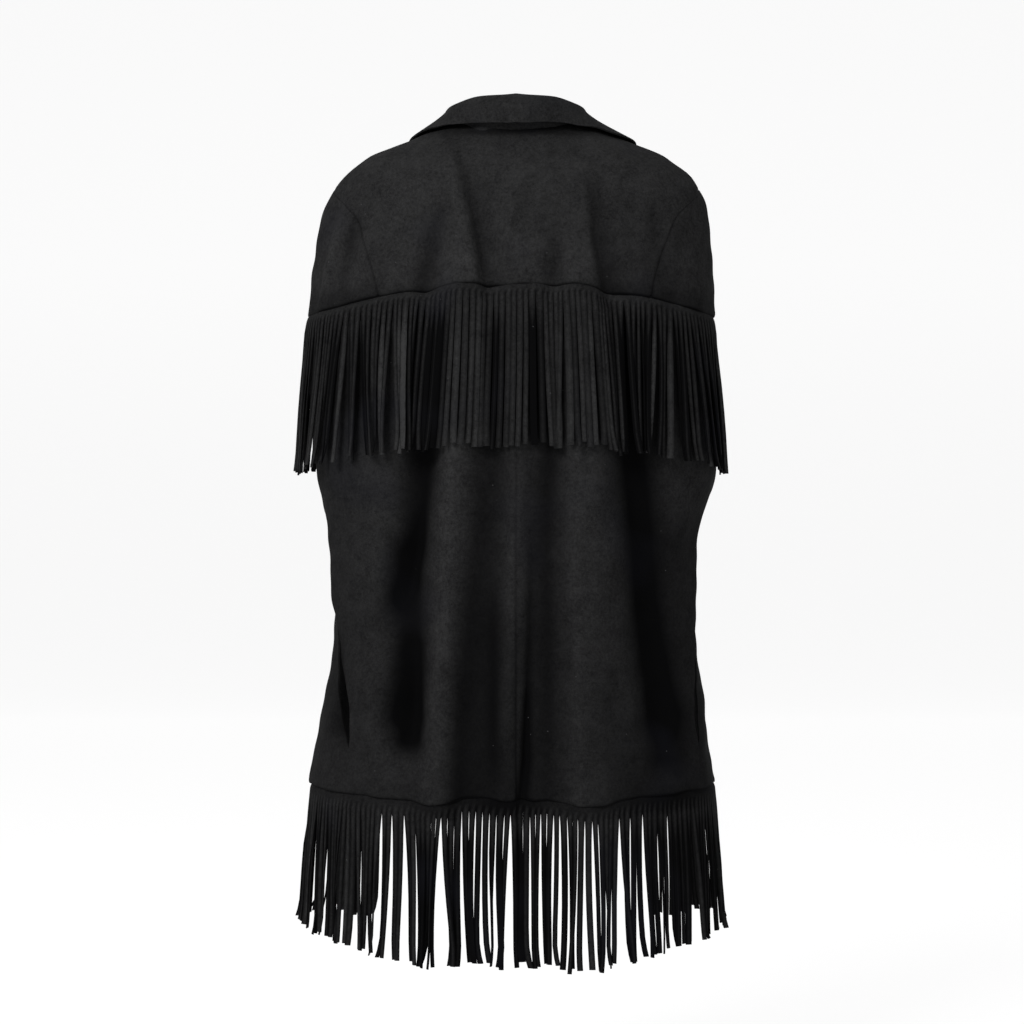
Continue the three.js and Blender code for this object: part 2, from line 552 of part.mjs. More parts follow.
// A comb: a strip along a rail with strands cut into it, all one closed solid
function combGeometry(rail, fringe, strandAt, lengthAt) {
  const count = Math.round(rail.length / (fringe.strandWidth + fringe.strandGap));
  const pitch = rail.length / count;
  const positions = [];
  const index = [];
  const quad = (a, b, c, d) => index.push(a, b, c, a, c, d);
  const addPair = ({ point, outward }, sideways = 0) => {
    const tangent = new THREE.Vector3(-outward.y, outward.x, 0);
    const first = positions.length / 3;
    for (const offset of [FRINGE_WALL / 2, -FRINGE_WALL / 2])
      positions.push(...point.clone().addScaledVector(outward, offset).addScaledVector(tangent, sideways).toArray());
    return { out: first, in: first + 1 };
  };
  const strands = Array.from({ length: count }, (_, i) => {
    const middle = (i + 0.5) * pitch;
    return { middle, left: middle - (pitch - fringe.strandGap) / 2, right: middle + (pitch - fringe.strandGap) / 2 };
  });
  const stripEdge = (distance, fallen) => addPair(strandAt(rail.at(distance), fallen, 0));
  const top = [...strands.map(({ left }) => left), strands.at(-1).right].map((spot) => stripEdge(spot, fringe.top));
  const roots = strands.map(({ left, right }) => ({
    left: stripEdge(left, fringe.strip),
    right: stripEdge(right, fringe.strip),
  }));
  roots.forEach(({ left, right }, i) => {
    index.push(top[i].out, left.out, right.out, top[i].out, right.out, top[i + 1].out);
    index.push(top[i].in, right.in, left.in, top[i].in, top[i + 1].in, right.in);
    quad(top[i].out, top[i + 1].out, top[i + 1].in, top[i].in);
    const next = roots[i + 1];
    if (!next) return;
    index.push(top[i + 1].out, right.out, next.left.out, top[i + 1].in, next.left.in, right.in);
    quad(next.left.out, right.out, right.in, next.left.in);
  });
  quad(roots[0].left.out, top[0].out, top[0].in, roots[0].left.in);
  quad(top.at(-1).out, roots.at(-1).right.out, roots.at(-1).right.in, top.at(-1).in);
  strands.forEach(({ middle }, i) => {
    let { left, right } = roots[i];
    const spot = rail.at(middle);
    const end = lengthAt(spot.angle) * (1 + 0.012 * scatter(i + 3));
    for (let step = 1; step <= fringe.steps; step++) {
      const place = strandAt(spot, lerp(fringe.strip, end, step / fringe.steps), i);
      const [nextLeft, nextRight] = [addPair(place, -fringe.strandWidth / 2), addPair(place, fringe.strandWidth / 2)];
      quad(left.out, nextLeft.out, nextRight.out, right.out);
      quad(left.in, right.in, nextRight.in, nextLeft.in);
      quad(nextLeft.out, left.out, left.in, nextLeft.in);
      quad(right.out, nextRight.out, nextRight.in, right.in);
      [left, right] = [nextLeft, nextRight];
    }
    quad(right.out, left.out, left.in, right.in);
  });
  return meshGeometry(positions, index);
}

function addFringes() {
  const yokeLength = () => YOKE_FRINGE.length;
  const hemLength = (angle) => HEM_FRINGE.length - HEM_FRINGE_FALL.sideShorter * Math.sin(angle) ** 4;
  const combs = [
    { name: "yoke_fringe_back", under: "back_yoke", kind: YOKE_FRINGE },
    { name: "yoke_fringe_left", under: "shoulder_cap_left", kind: YOKE_FRINGE },
    { name: "yoke_fringe_right", under: "shoulder_cap_right", kind: YOKE_FRINGE },
    { name: "yoke_fringe_front_left", under: "front_yoke_left", kind: YOKE_FRINGE },
    { name: "yoke_fringe_front_right", under: "front_yoke_right", kind: YOKE_FRINGE },
    { name: "hem_fringe_back_left", under: "back_body_left", kind: HEM_FRINGE },
    { name: "hem_fringe_back_right", under: "back_body_right", kind: HEM_FRINGE },
    { name: "hem_fringe_front_left", under: "front_body_left", kind: HEM_FRINGE },
    { name: "hem_fringe_front_right", under: "front_body_right", kind: HEM_FRINGE },
  ];
  for (const { name, under, kind } of combs) {
    const [strandAt, lengthAt] = kind === YOKE_FRINGE ? [yokeStrand, yokeLength] : [hemStrand, hemLength];
    addPiece(name, combGeometry(railUnder(under), kind, strandAt, lengthAt));
  }
}

addYoke();
addBody();
addCollar();
addFringes();

export default cape;
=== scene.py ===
# %% [markdown]
# # A fringed suede cape, seen from behind
# The cape has no bones: what holds its form is the cut of its yoke, the weight of the fringe and the
# folds that both make in the cloth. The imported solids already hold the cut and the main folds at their
# true size. They are loaded first, because every sheet that is made here has to lie where its solid
# lies.
# %% The frame
import math

import bpy
import numpy as np
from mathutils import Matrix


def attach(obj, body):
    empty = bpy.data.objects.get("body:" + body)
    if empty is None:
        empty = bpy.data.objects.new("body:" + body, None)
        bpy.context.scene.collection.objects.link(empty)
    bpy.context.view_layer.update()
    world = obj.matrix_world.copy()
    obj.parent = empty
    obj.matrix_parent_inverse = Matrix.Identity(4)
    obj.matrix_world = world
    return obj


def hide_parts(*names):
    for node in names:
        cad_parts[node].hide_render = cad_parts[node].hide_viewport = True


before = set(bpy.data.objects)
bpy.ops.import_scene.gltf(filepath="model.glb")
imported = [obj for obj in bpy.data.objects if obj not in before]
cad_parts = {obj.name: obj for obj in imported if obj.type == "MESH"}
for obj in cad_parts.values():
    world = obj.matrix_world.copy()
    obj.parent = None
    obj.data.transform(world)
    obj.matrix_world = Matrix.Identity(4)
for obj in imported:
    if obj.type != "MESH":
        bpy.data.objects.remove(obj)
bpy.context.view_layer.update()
bpy.ops.object.select_all(action="DESELECT")
MM = 0.001

# %% [markdown]
# ## The cut as tables
# A pattern maker writes a garment down as measures at a few levels. The same is done here, in
# millimetres: how far out and how far down the cloth has gone at each level, with a smooth curve
# through the rows. A mesh worked by hand could give the same form, but a table is easier to correct,
# and every panel, the collar and both rows of fringe are worked out from it, so that they meet.
# %% Tables and smooth readings
def table(columns, *rows):
    return dict(zip(columns.split(), np.array(rows, float).T))


def bend(t, start, end, slope_from, slope_to):
    """A cubic from one value to the next, with a given slope at either end."""
    return (
        (2 * t**3 - 3 * t**2 + 1) * start + (t**3 - 2 * t**2 + t) * slope_from
        + (3 * t**2 - 2 * t**3) * end + (t**3 - t**2) * slope_to
    )


def read_table(rows, at):
    knots, last = rows["at"], len(rows["at"]) - 1
    here = np.clip(at, knots[0], knots[last])
    i = np.clip(np.searchsorted(knots, here) - 1, 0, last - 1)
    before, after = np.maximum(i - 1, 0), np.minimum(i + 2, last)
    span = knots[i + 1] - knots[i]
    t = (here - knots[i]) / span
    read = {}
    for name, column in rows.items():
        slope_from = (column[i + 1] - column[before]) / (knots[i + 1] - knots[before]) * span
        slope_to = (column[after] - column[i]) / (knots[after] - knots[i]) * span
        read[name] = bend(t, column[i], column[i + 1], slope_from, slope_to)
    return read


def mix(a, b, t):
    return a + (b - a) * t


def ease(t):
    t = np.clip(t, 0, 1)
    return t * t * (3 - 2 * t)


def hump(t):
    return np.exp(-(t**2))


# %% Sizes of the cape
WALL = 1.6
FRINGE_WALL = 1.2
SEAM_GAP = 0.3
NECK = {"left": 66, "right": 66, "back": 58, "front": 66, "back_drop": 14, "front_drop": 72}
YOKE_SEAM = {"side": -198, "back": -172, "front": -190}
HEM = {"side": -672, "back": -679, "front": -676}
SQUARENESS = {"neck": 2.05, "yoke": 2.25, "hem": 2.3}
LEVEL_BEND = (2, 3)

YOKE_SECTIONS = table(
    "at left_out right_out side_drop back_out back_drop front_out front_drop",
    (0.00, 0, 0, 0, 0, 0, 0, 0),
    (0.17, 41, 43, 17, 17, 23, 13, 18),
    (0.34, 82, 84, 34, 31, 48, 24, 37),
    (0.42, 100, 102, 46, 36, 61, 28, 46),
    (0.49, 115, 116, 61, 40, 73, 32, 55),
    (0.56, 125, 125, 79, 43, 84, 35, 63),
    (0.64, 131, 129, 100, 46, 97, 38, 73),
    (0.75, 138, 132, 130, 50, 115, 42, 87),
    (0.87, 143, 134, 163, 52, 137, 45, 103),
    (1.00, 147, 136, 198, 54, 158, 46, 118),
)
BODY_SECTIONS = table(
    "at left right back front seam_left seam_right",
    (0.00, 213, 202, 112, 112, 5, 5),
    (0.17, 209, 202, 117, 118, 5, 5),
    (0.34, 203, 203, 121, 122, 5, 5),
    (0.40, 198, 195, 122, 123, 5, 5),
    (0.46, 193, 186, 123, 124, 5, 5),
    (0.57, 191, 186, 125, 126, 6, 6),
    (0.70, 189, 189, 128, 129, 12, 9),
    (0.82, 196, 193, 132, 133, 22, 14),
    (0.92, 203, 197, 136, 137, 28, 18),
    (1.00, 210, 203, 139, 140, 28, 19),
)
# The armhole seam: degrees from the side, to the back and to the front
ARMHOLE = table(
    "at back front",
    (0.51, 0.4, 0.4),
    (0.57, 14, 12),
    (0.64, 22, 20),
    (0.75, 27, 25),
    (0.87, 31, 29),
    (1.00, 34, 32),
)
ARM_OPENING = {"top": 0.37, "bottom": 0.91, "gap": 36, "bluntness": 0.75}
TUCK = {"depth": 10, "reach": 45, "sharpness": 1.5}
FRONT_EDGE = {"neck": 44, "yoke": 82, "hem": 140}
FOLD_LIFT = {"yoke": 0.5, "hem": -0.55}
print(len(YOKE_SECTIONS["at"]), "levels in the yoke and", len(BODY_SECTIONS["at"]), "in the body")

# %% [markdown]
# ## The folds, placed one by one
# Suede is heavy and soft, so it falls in long folds that start at a seam or at the point of a shoulder
# blade and widen on their way down. A cloth simulation would find folds of its own, in other places.
# These are listed instead. Each fold is a line down the cape with a height and a width on
# either side: a narrow side makes a crisp edge, and a wide one lets the fold run out softly.
# %% Fold tables
# name: rows of z, place across, height out of the cloth, width on the left, width on the right
BACK_FOLDS = {
    "neck to left hem valley": [
        (-30, -64, 0, 8, 12), (-90, -42, -4, 8, 20), (-130, -34, -5, 9, 22), (-165, -26, -5, 10, 24),
        (-346, -24, -5, 15, 18), (-424, -32, -6, 15, 19), (-482, -41, -7, 13, 26),
        (-541, -46, -7, 13, 33), (-600, -48, -7, 13, 36), (-690, -50, -6, 14, 36),
    ],
    "neck to left hem crease": [
        (-24, -63, 0, 2.5, 5), (-45, -57, -2.4, 2.5, 6), (-100, -44, -2.8, 2.5, 7),
        (-130, -37, -2.8, 2.5, 7), (-172, -30, -2, 3, 7), (-200, -28, 0, 4, 7),
    ],
    "beside the crease": [
        (-30, -69, 0, 6, 4), (-60, -62, 1.8, 6, 4), (-120, -48, 2.2, 7, 4), (-165, -40, 1.4, 7, 4),
        (-200, -38, 0, 7, 4),
    ],
    "left shoulder blade valley": [
        (-70, -72, 0, 8, 9), (-100, -76, -3, 8, 9), (-150, -86, -6, 9, 10), (-174, -90, -7, 10, 11),
        (-260, -89, -11, 15, 14), (-346, -92, -15, 24, 14), (-380, -96, -15, 25, 13),
        (-424, -103, -14, 22, 13), (-470, -111, -10, 17, 12), (-510, -123, 0, 12, 12),
    ],
    "left skirt hollow": [
        (-380, -98, 0, 8, 12), (-440, -102, -9, 16, 13), (-500, -105, -13, 18, 14),
        (-541, -104, -15, 18, 14), (-600, -106, -21, 15, 14), (-622, -107, -17, 12, 14),
        (-645, -108, 0, 14, 16),
    ],
    "left skirt ridge": [
        (-110, -52, 0, 13, 13), (-170, -56, 4, 12, 14), (-346, -60, 8, 12, 13), (-482, -69, 8, 12, 13),
        (-600, -76, 8, 12, 14), (-690, -83, 6, 16, 16),
    ],
    "middle ridge": [
        (-200, -1, 0, 10, 10), (-346, 2, 4, 11, 9), (-482, -3, 5, 11, 9), (-600, -9, 4, 10, 10),
        (-650, -11, 1, 10, 10),
    ],
    "middle valley": [
        (-90, 44, 0, 9, 9), (-165, 38, -4, 10, 9), (-260, 32, -5, 10, 9), (-346, 34, -5, 12, 9),
        (-424, 29, -6, 13, 9), (-482, 31, -6, 13, 9), (-600, 31, -5, 15, 9), (-690, 29, -3, 16, 9),
    ],
    "middle pleat": [
        (-390, 17, 0, 3, 7), (-470, 14, -3, 3, 7), (-541, 12, -4, 3, 7), (-600, 9, -7, 3.5, 8),
        (-640, 8, -8, 4, 9), (-690, 4, -6, 5, 10),
    ],
    "right skirt ridge": [
        (-100, 56, 0, 12, 14), (-170, 58, 4, 11, 18), (-346, 61, 8, 13, 36), (-500, 62, 9, 13, 38),
        (-690, 64, 8, 15, 36),
    ],
    "right shoulder blade valley": [
        (-50, 68, 0, 3, 9), (-90, 76, -5, 3.5, 14), (-130, 80, -7, 5, 18), (-165, 89, -8, 9, 20),
        (-260, 108, -11, 15, 20), (-346, 121, -14, 24, 20), (-424, 131, -16, 25, 24),
        (-482, 134, -17, 23, 23), (-541, 140, -17, 22, 23), (-600, 148, -16, 23, 25),
        (-640, 150, -6, 20, 22), (-665, 150, 0, 18, 18),
    ],
    "left cap valley": [
        (-85, -157, 0, 6, 8), (-122, -166, -5, 5, 9), (-165, -173, -2, 6, 9), (-200, -176, 0, 6, 8),
    ],
    "left cap ridge": [
        (-80, -166, 0, 4, 4), (-106, -176, 3.2, 5, 3), (-150, -186, 3.4, 5, 3.5), (-185, -194, 1.6, 5, 4),
        (-205, -196, 0, 5, 5),
    ],
    "right cap valley": [
        (-75, 128, 0, 6, 6), (-110, 140, -2.6, 6, 8), (-165, 150, -2, 7, 10), (-200, 154, 0, 7, 8),
    ],
}
# The same kind of table for painted shade: how much darker the colour is made where shade falls, under
# the collar and the yoke fringe, in the hollows, on flanks turned from the main light and behind the
# left arm opening
BACK_PAINTED_SHADE = {
    "under the collar": [
        (20, 0, 0, 70, 70), (5, 0, 1.1, 70, 70), (-16, 0, 1.1, 70, 70), (-23, 0, 0, 70, 70),
    ],
    "right half of the yoke": [(-60, 125, 0, 40, 50), (-130, 125, 0.2, 45, 50), (-175, 125, 0.3, 45, 50)],
    "right side of the skirt": [
        (-380, 160, 0, 14, 30), (-430, 162, 0.4, 16, 30), (-600, 166, 0.5, 24, 30),
        (-690, 160, 0.4, 50, 40),
    ],
    "middle above the hem": [
        (-440, -5, 0, 50, 40), (-540, -8, 0.38, 48, 40), (-600, -8, 0.5, 48, 42),
        (-690, -6, 0.65, 55, 45),
    ],
    "beside the centre seam": [
        (-430, -20, 0, 9, 8), (-500, -20, 0.3, 9, 9), (-620, -20, 0.3, 9, 9), (-690, -20, 0, 9, 9),
    ],
    "right flank of the left skirt ridge": [
        (-480, -60, 0, 8, 8), (-560, -60, 0.22, 9, 8), (-680, -62, 0.25, 9, 8),
    ],
    "foot of the right skirt ridge": [
        (-520, 67, 0, 20, 24), (-570, 67, 0.22, 20, 24), (-620, 67, 0.22, 20, 24), (-665, 67, 0, 20, 24),
    ],
    "under the yoke fringe": [
        (-165, 0, 0, 400, 400), (-186, 0, 0.6, 400, 400), (-280, 0, 0.6, 400, 400),
        (-325, 0, 0, 400, 400),
    ],
    "left skirt hollow": [
        (-400, -123, 0, 11, 10), (-443, -125, 0.6, 11, 10), (-482, -126, 0.7, 12, 10),
        (-502, -126, 0.6, 22, 14), (-521, -122, 0.5, 17, 11), (-541, -121, 0.6, 12, 10),
        (-562, -124, 0.75, 12, 10), (-600, -125, 0.9, 12, 11), (-619, -123, 0.5, 12, 11),
        (-640, -118, 0, 14, 12),
    ],
    "flank beside the left hollow": [
        (-330, -80, 0, 12, 12), (-420, -84, 0.3, 12, 14), (-560, -86, 0.45, 13, 15),
        (-610, -86, 0.45, 13, 15), (-650, -86, 0.1, 15, 15),
    ],
    "beyond the left arm opening": [
        (-500, -176, 0, 10, 3), (-521, -175, 0.2, 10, 3), (-551, -174, 0.6, 12, 3),
        (-580, -172, 0.8, 13, 3), (-614, -169, 0.8, 14, 3), (-626, -168, 0.3, 14, 3),
        (-640, -168, 0, 14, 3),
    ],
}
# placed in degrees round from the middle of the back
FRONT_FOLDS = {
    "left side valley": [(-260, -108, 0, 6, 6), (-420, -110, -6, 6, 6), (-690, -109, -8, 7, 7)],
    "left front ridge": [(-150, -118, 0, 6, 6), (-340, -121, 5, 6, 6), (-690, -123, 8, 6, 6)],
    "left front valley": [(-90, -146, 0, 7, 7), (-190, -142, -5, 6, 6), (-690, -134, -9, 4, 4)],
    "right side valley": [(-240, 106, 0, 6, 6), (-400, 107, -5, 6, 6), (-690, 108, -9, 7, 7)],
    "right front ridge": [(-150, 116, 0, 6, 6), (-360, 119, 6, 6, 6), (-690, 122, 7, 6, 6)],
    "right front valley": [(-80, 143, 0, 7, 7), (-210, 140, -6, 6, 6), (-690, 134, -8, 4, 4)],
}


def fold_height(folds, place, z):
    height = np.zeros(np.broadcast(place, z).shape)
    for rows in folds.values():
        levels, places, heights, lefts, rights = np.array(rows, float).T
        t = np.interp(-z, -levels, np.arange(len(levels)))
        i = np.minimum(t.astype(int), len(levels) - 2)
        eased = mix(heights[i], heights[i + 1], ease(t - i))
        off = place - np.interp(-z, -levels, places)
        width = np.where(off < 0, np.interp(-z, -levels, lefts), np.interp(-z, -levels, rights))
        height += np.where(z > levels[0], 0, eased) * hump(off / width)
    return height


print(len(BACK_FOLDS), "folds behind and", len(FRONT_FOLDS), "in front")

# %% Small waves between the folds
WAVES = {"count": 18, "height": 0.3, "shortest": 18, "longest": 80, "upwards": 0.45}
wave_chance = np.random.default_rng(5)
wave_directions = wave_chance.normal(size=(WAVES["count"], 3)) * (1, 1, WAVES["upwards"])
wave_directions /= np.linalg.norm(wave_directions, axis=1, keepdims=True)
wave_lengths = wave_chance.uniform(WAVES["shortest"], WAVES["longest"], WAVES["count"])
wave_starts = wave_chance.uniform(0, 2 * np.pi, WAVES["count"])


def small_waves(point):
    along = point @ (wave_directions.T * 2 * np.pi / wave_lengths)
    return WAVES["height"] * np.sin(along + wave_starts).sum(-1)


# %% [markdown]
# ## From the tables to a place on the cloth
# A place on the cape is told by an angle round the body, from the middle of the back, and by how far
# down it is: -1 at the neck seam, 0 at the yoke seam and 1 at the hem. The rings are superellipses, so
# they can be rounder at the neck and squarer at the hem. Every panel, the collar and the fringe ask
# the same function, and that is why their seams meet without any fitting.
# %% Places on the cloth
def ring_at(down):
    yoke, body = read_table(YOKE_SECTIONS, down + 1), read_table(BODY_SECTIONS, down)
    above, up, share = down < 0, np.clip(down + 1, 0, 1), np.clip(down, 0, 1)
    ring = {}
    for side in ("left", "right", "back", "front"):
        ring[side] = np.where(above, NECK[side] + yoke[side + "_out"], body[side])
    for end in YOKE_SEAM:
        in_yoke = -NECK.get(end + "_drop", 0) - yoke[end + "_drop"]
        ring[end + "_level"] = np.where(above, in_yoke, mix(YOKE_SEAM[end], HEM[end], share))
    in_yoke = mix(SQUARENESS["neck"], SQUARENESS["yoke"], up)
    ring["square"] = np.where(above, in_yoke, mix(SQUARENESS["yoke"], SQUARENESS["hem"], share))
    ring["level_bend"] = mix(*LEVEL_BEND, up)
    in_yoke = FOLD_LIFT["yoke"] * up**2
    ring["lift"] = np.where(above, in_yoke, mix(FOLD_LIFT["yoke"], FOLD_LIFT["hem"], share))
    return ring


def smooth_place(angle, down):
    angle, down = np.broadcast_arrays(np.asarray(angle, float), np.asarray(down, float))
    ring = ring_at(down)
    across, backward = np.sin(angle), np.cos(angle)
    half_width = np.where(across > 0, ring["right"], ring["left"])
    half_depth = np.where(backward > 0, ring["back"], ring["front"])
    end = np.where(backward > 0, ring["back_level"], ring["front_level"])
    n = ring["square"]
    radius = (np.abs(across / half_width) ** n + np.abs(backward / half_depth) ** n) ** (-1 / n)
    x, y = radius * across, -radius * backward
    z = mix(ring["side_level"], end, np.abs(y / half_depth) ** ring["level_bend"])
    out_x = np.sign(x) * np.abs(x / half_width) ** (n - 1) / half_width
    out_y = np.sign(y) * np.abs(y / half_depth) ** (n - 1) / half_depth
    size = np.hypot(out_x, out_y)
    outward = np.stack([out_x / size, out_y / size, np.zeros_like(x)], -1)
    return np.stack([x, y, z], -1), outward, ring["lift"]


def folds_at(point):
    x, y, z = point[..., 0], point[..., 1], point[..., 2]
    degrees = np.degrees(np.arctan2(x, -y))
    return np.where(y < 0, fold_height(BACK_FOLDS, x, z), fold_height(FRONT_FOLDS, degrees, z))


def side_seam(down, side):
    row = read_table(BODY_SECTIONS, down)
    return np.radians(90 - row["seam_right" if side > 0 else "seam_left"]) * side


def openness(down):
    t = (down - ARM_OPENING["top"]) / (ARM_OPENING["bottom"] - ARM_OPENING["top"])
    return np.where((t <= 0) | (t >= 1), 0, np.sin(np.pi * np.clip(t, 0, 1)) ** ARM_OPENING["bluntness"])


def cloth_point(angle, down):
    angle, down = np.broadcast_arrays(np.asarray(angle, float), np.asarray(down, float))
    point, outward, lift = smooth_place(angle, down)
    fold = folds_at(point) + small_waves(point)
    side = np.where(angle < 0, -1, 1)
    seam = np.where(side > 0, side_seam(down, 1), side_seam(down, -1))
    past = (angle - seam) * side * np.hypot(point[..., 0], point[..., 1])
    tuck = TUCK["depth"] * openness(down) ** TUCK["sharpness"] * hump(past / TUCK["reach"])
    tuck = np.where((down > 0) & (past > 0), tuck, 0)
    moved = point + outward * (fold - tuck)[..., None]
    moved[..., 2] += fold * lift
    return moved


def unit(vectors):
    return vectors / np.linalg.norm(vectors, axis=-1, keepdims=True)


def cloth_normal(angle, down):
    step = 0.004
    along = cloth_point(angle + step, down) - cloth_point(angle - step, down)
    above, below = np.maximum(down - step, -1), np.minimum(down + step, 1)
    return unit(np.cross(cloth_point(angle, below) - cloth_point(angle, above), along))


print("middle of the yoke seam at", np.round(cloth_point(0.0, 0.0), 1), "mm")

# %% [markdown]
# ## The seams as lines
# A seam is an angle that changes on the way down. The armhole seam starts at the tip of the shoulder
# and widens below it, the side seams run behind the side, and the front edges slant away from each
# other.
# %% Seam lines
def armhole(part, sign):
    def line(down):
        opened = np.radians(read_table(ARMHOLE, down + 1)[part])
        return np.pi / 2 + sign * np.where(down < ARMHOLE["at"][0] - 1, 0, opened)

    return line


def front_edge(down):
    yoke = mix(FRONT_EDGE["neck"], FRONT_EDGE["yoke"], down + 1)
    x = np.where(down < 0, yoke, mix(FRONT_EDGE["yoke"], FRONT_EDGE["hem"], down))
    ring = ring_at(down)
    y = ring["front"] * (1 - (x / ring["right"]) ** ring["square"]) ** (1 / ring["square"])
    return np.pi - np.arctan2(x, y)


def beside_opening(side, sign):
    def line(down):
        seam = side_seam(down, side)
        point, _, _ = smooth_place(seam, down)
        half = ARM_OPENING["gap"] * openness(down) / 2 / np.hypot(point[..., 0], point[..., 1])
        return seam + sign * half

    return line


def flipped(line):
    return lambda down: -line(down)


back_armhole, front_armhole = armhole("back", -1), armhole("front", 1)
centre_back = np.zeros_like
# the two lines beside each part, and beside its fringe
YOKE_EDGES = {
    "back": (flipped(back_armhole), back_armhole),
    "left": (flipped(front_armhole), flipped(back_armhole)),
    "right": (back_armhole, front_armhole),
    "front_left": (flipped(front_edge), flipped(front_armhole)),
    "front_right": (front_armhole, front_edge),
}
BODY_EDGES = {
    "back_left": (beside_opening(-1, 1), centre_back),
    "back_right": (centre_back, beside_opening(1, -1)),
    "front_left": (flipped(front_edge), beside_opening(-1, -1)),
    "front_right": (beside_opening(1, 1), front_edge),
}
print("armhole seam at the yoke seam:", round(math.degrees(back_armhole(np.array(0.0))), 1), "degrees")

# %% [markdown]
# ## A sheet of cloth
# Each panel starts as a flat grid, as a skin starts flat on the cutting table. Its points are then
# moved to their places on the cape, and a Solidify modifier gives the sheet its thickness. Rows and
# columns stand closer together beside the edges, because a seam rolls the cloth in over the last two
# millimetres, and a roll that falls between two rows wouldn't show.
# %% Making a sheet
SEAM_ROLL = {"depth": 1.1, "width": 1.7}
SEAM_PRESS = 0.1
# painted shade: darker along the rolled seams, and evenly darker over the body's panels, which face the
# light from above less than the yoke
SEAM_PAINTED_SHADE = 0.9
BODY_PAINTED_SHADE = 0.38
ALLOWANCE = {"width": 4, "depth": 1}
NEAR_EDGE = (0, 0.7, 1.5, 2.6, 4.4)
CELL = 3.6
SMOOTH_BELOW = 50


def shares_along(length, cell=CELL):
    """Shares from 0 to 1 along an edge of this length, closer together near its ends."""
    inner = max(int(round((length - 2 * NEAR_EDGE[-1]) / cell)), 2)
    even = np.linspace(NEAR_EDGE[-1], length - NEAR_EDGE[-1], inner + 1)[1:-1]
    near = np.array(NEAR_EDGE)
    return np.concatenate([near, even, length - near[::-1]]) / length


def select_only(piece):
    bpy.ops.object.select_all(action="DESELECT")
    piece.select_set(True)
    bpy.context.view_layer.objects.active = piece


def unit_grid(name, rows, columns):
    """A grid object with the row and the column of each of its points."""
    bpy.ops.object.select_all(action="DESELECT")
    bpy.ops.mesh.primitive_grid_add(x_subdivisions=columns - 1, y_subdivisions=rows - 1, size=1)
    piece = bpy.context.object
    piece.name = piece.data.name = name
    flat = np.empty(len(piece.data.vertices) * 3)
    piece.data.vertices.foreach_get("co", flat)
    x, y, _ = flat.reshape(-1, 3).T
    row = np.rint((0.5 - y) * (rows - 1)).astype(int)
    column = np.rint((x + 0.5) * (columns - 1)).astype(int)
    return piece, row, column


def add_wall(piece, thickness):
    select_only(piece)
    wall = piece.modifiers.new("wall", "SOLIDIFY")
    wall.thickness = thickness * MM
    wall.offset = 0
    bpy.ops.object.modifier_apply(modifier=wall.name)
    bpy.ops.object.shade_smooth_by_angle(angle=math.radians(SMOOTH_BELOW))


def sheet_from(name, points, thickness, painted_shades_and_tones, cut_away=None):
    """A sheet through a grid of points in millimetres, from its top row down and from left to right."""
    rows, columns = points.shape[:2]
    piece, row, column = unit_grid(name, rows, columns)
    piece.data.vertices.foreach_set("co", (points[row, column] * MM).ravel())
    # painted shade kept on the mesh, and on the fringe also its tone, for the material to read
    painted_shade_and_tone = piece.data.attributes.new("painted_shade_and_tone", "FLOAT", "POINT")
    painted_shade_and_tone.data.foreach_set("value", painted_shades_and_tones[row, column].astype(np.float32))
    if cut_away is not None:
        cut_faces(piece, row, column, cut_away)
    add_wall(piece, thickness)
    return piece


def cut_faces(piece, row, column, cut_away):
    """Deletes the faces whose top left corner is a place that is to be cut away."""
    mesh = piece.data
    corners = np.empty(len(mesh.loops), int)
    mesh.loops.foreach_get("vertex_index", corners)
    corners = corners.reshape(-1, 4)
    chosen = cut_away[row[corners].min(1), column[corners].min(1)]
    mesh.vertices.foreach_set("select", np.zeros(len(mesh.vertices), bool))
    mesh.edges.foreach_set("select", np.zeros(len(mesh.edges), bool))
    mesh.polygons.foreach_set("select", chosen)
    select_only(piece)
    bpy.ops.object.mode_set(mode="EDIT")
    bpy.ops.mesh.select_mode(type="FACE")
    bpy.ops.mesh.delete(type="FACE")
    bpy.ops.object.mode_set(mode="OBJECT")


def lengths(points, axis):
    return np.linalg.norm(np.diff(points, axis=axis), axis=-1).sum(axis)


def gone_along(points, axis):
    """How far each point lies along its row or column."""
    steps = np.linalg.norm(np.diff(points, axis=axis), axis=-1)
    return np.insert(np.cumsum(steps, axis), 0, 0, axis)


def sheet_area(points):
    down, across = np.diff(points[:, :-1], axis=0), np.diff(points[:-1], axis=1)
    return np.linalg.norm(np.cross(down, across), axis=-1).sum()


# %% [markdown]
# ## Blurring, to paint the shade of the hollows
# Light reaches the bottom of a fold less than its crest, so shade is painted into the colour there, and a
# crest is painted a little paler. How hollow a place is comes from comparing the folds with a blurred
# copy of themselves; together with the painted shade of the tables it is kept on the mesh, for the
# material to read.
# %% Painted shade of the hollows
HOLLOW_BLUR, HOLLOW_FULL = 20, 8
# an even painted shade over the front of the cape
FRONT_PAINTED_SHADE = 0.1


def blurred(values, reach):
    kernel = np.hanning(2 * reach + 3)[1:-1]
    kernel /= kernel.sum()
    for axis in (0, 1):
        pad = [(reach, reach) if a == axis else (0, 0) for a in (0, 1)]
        values = np.apply_along_axis(np.convolve, axis, np.pad(values, pad, "edge"), kernel, "valid")
    return values


# painted shade: darker in the hollows of the folds and paler on their crests, darker where the shade
# tables say, evenly darker in front, and nap adds an even painted shade over a whole panel
def painted_shade_of(points, nap):
    folds = folds_at(points)
    behind = fold_height(BACK_PAINTED_SHADE, points[..., 0], points[..., 2])
    shades = np.where(points[..., 1] < 0, behind, FRONT_PAINTED_SHADE)
    return np.tanh((blurred(folds, HOLLOW_BLUR) - folds) / HOLLOW_FULL) + shades + nap


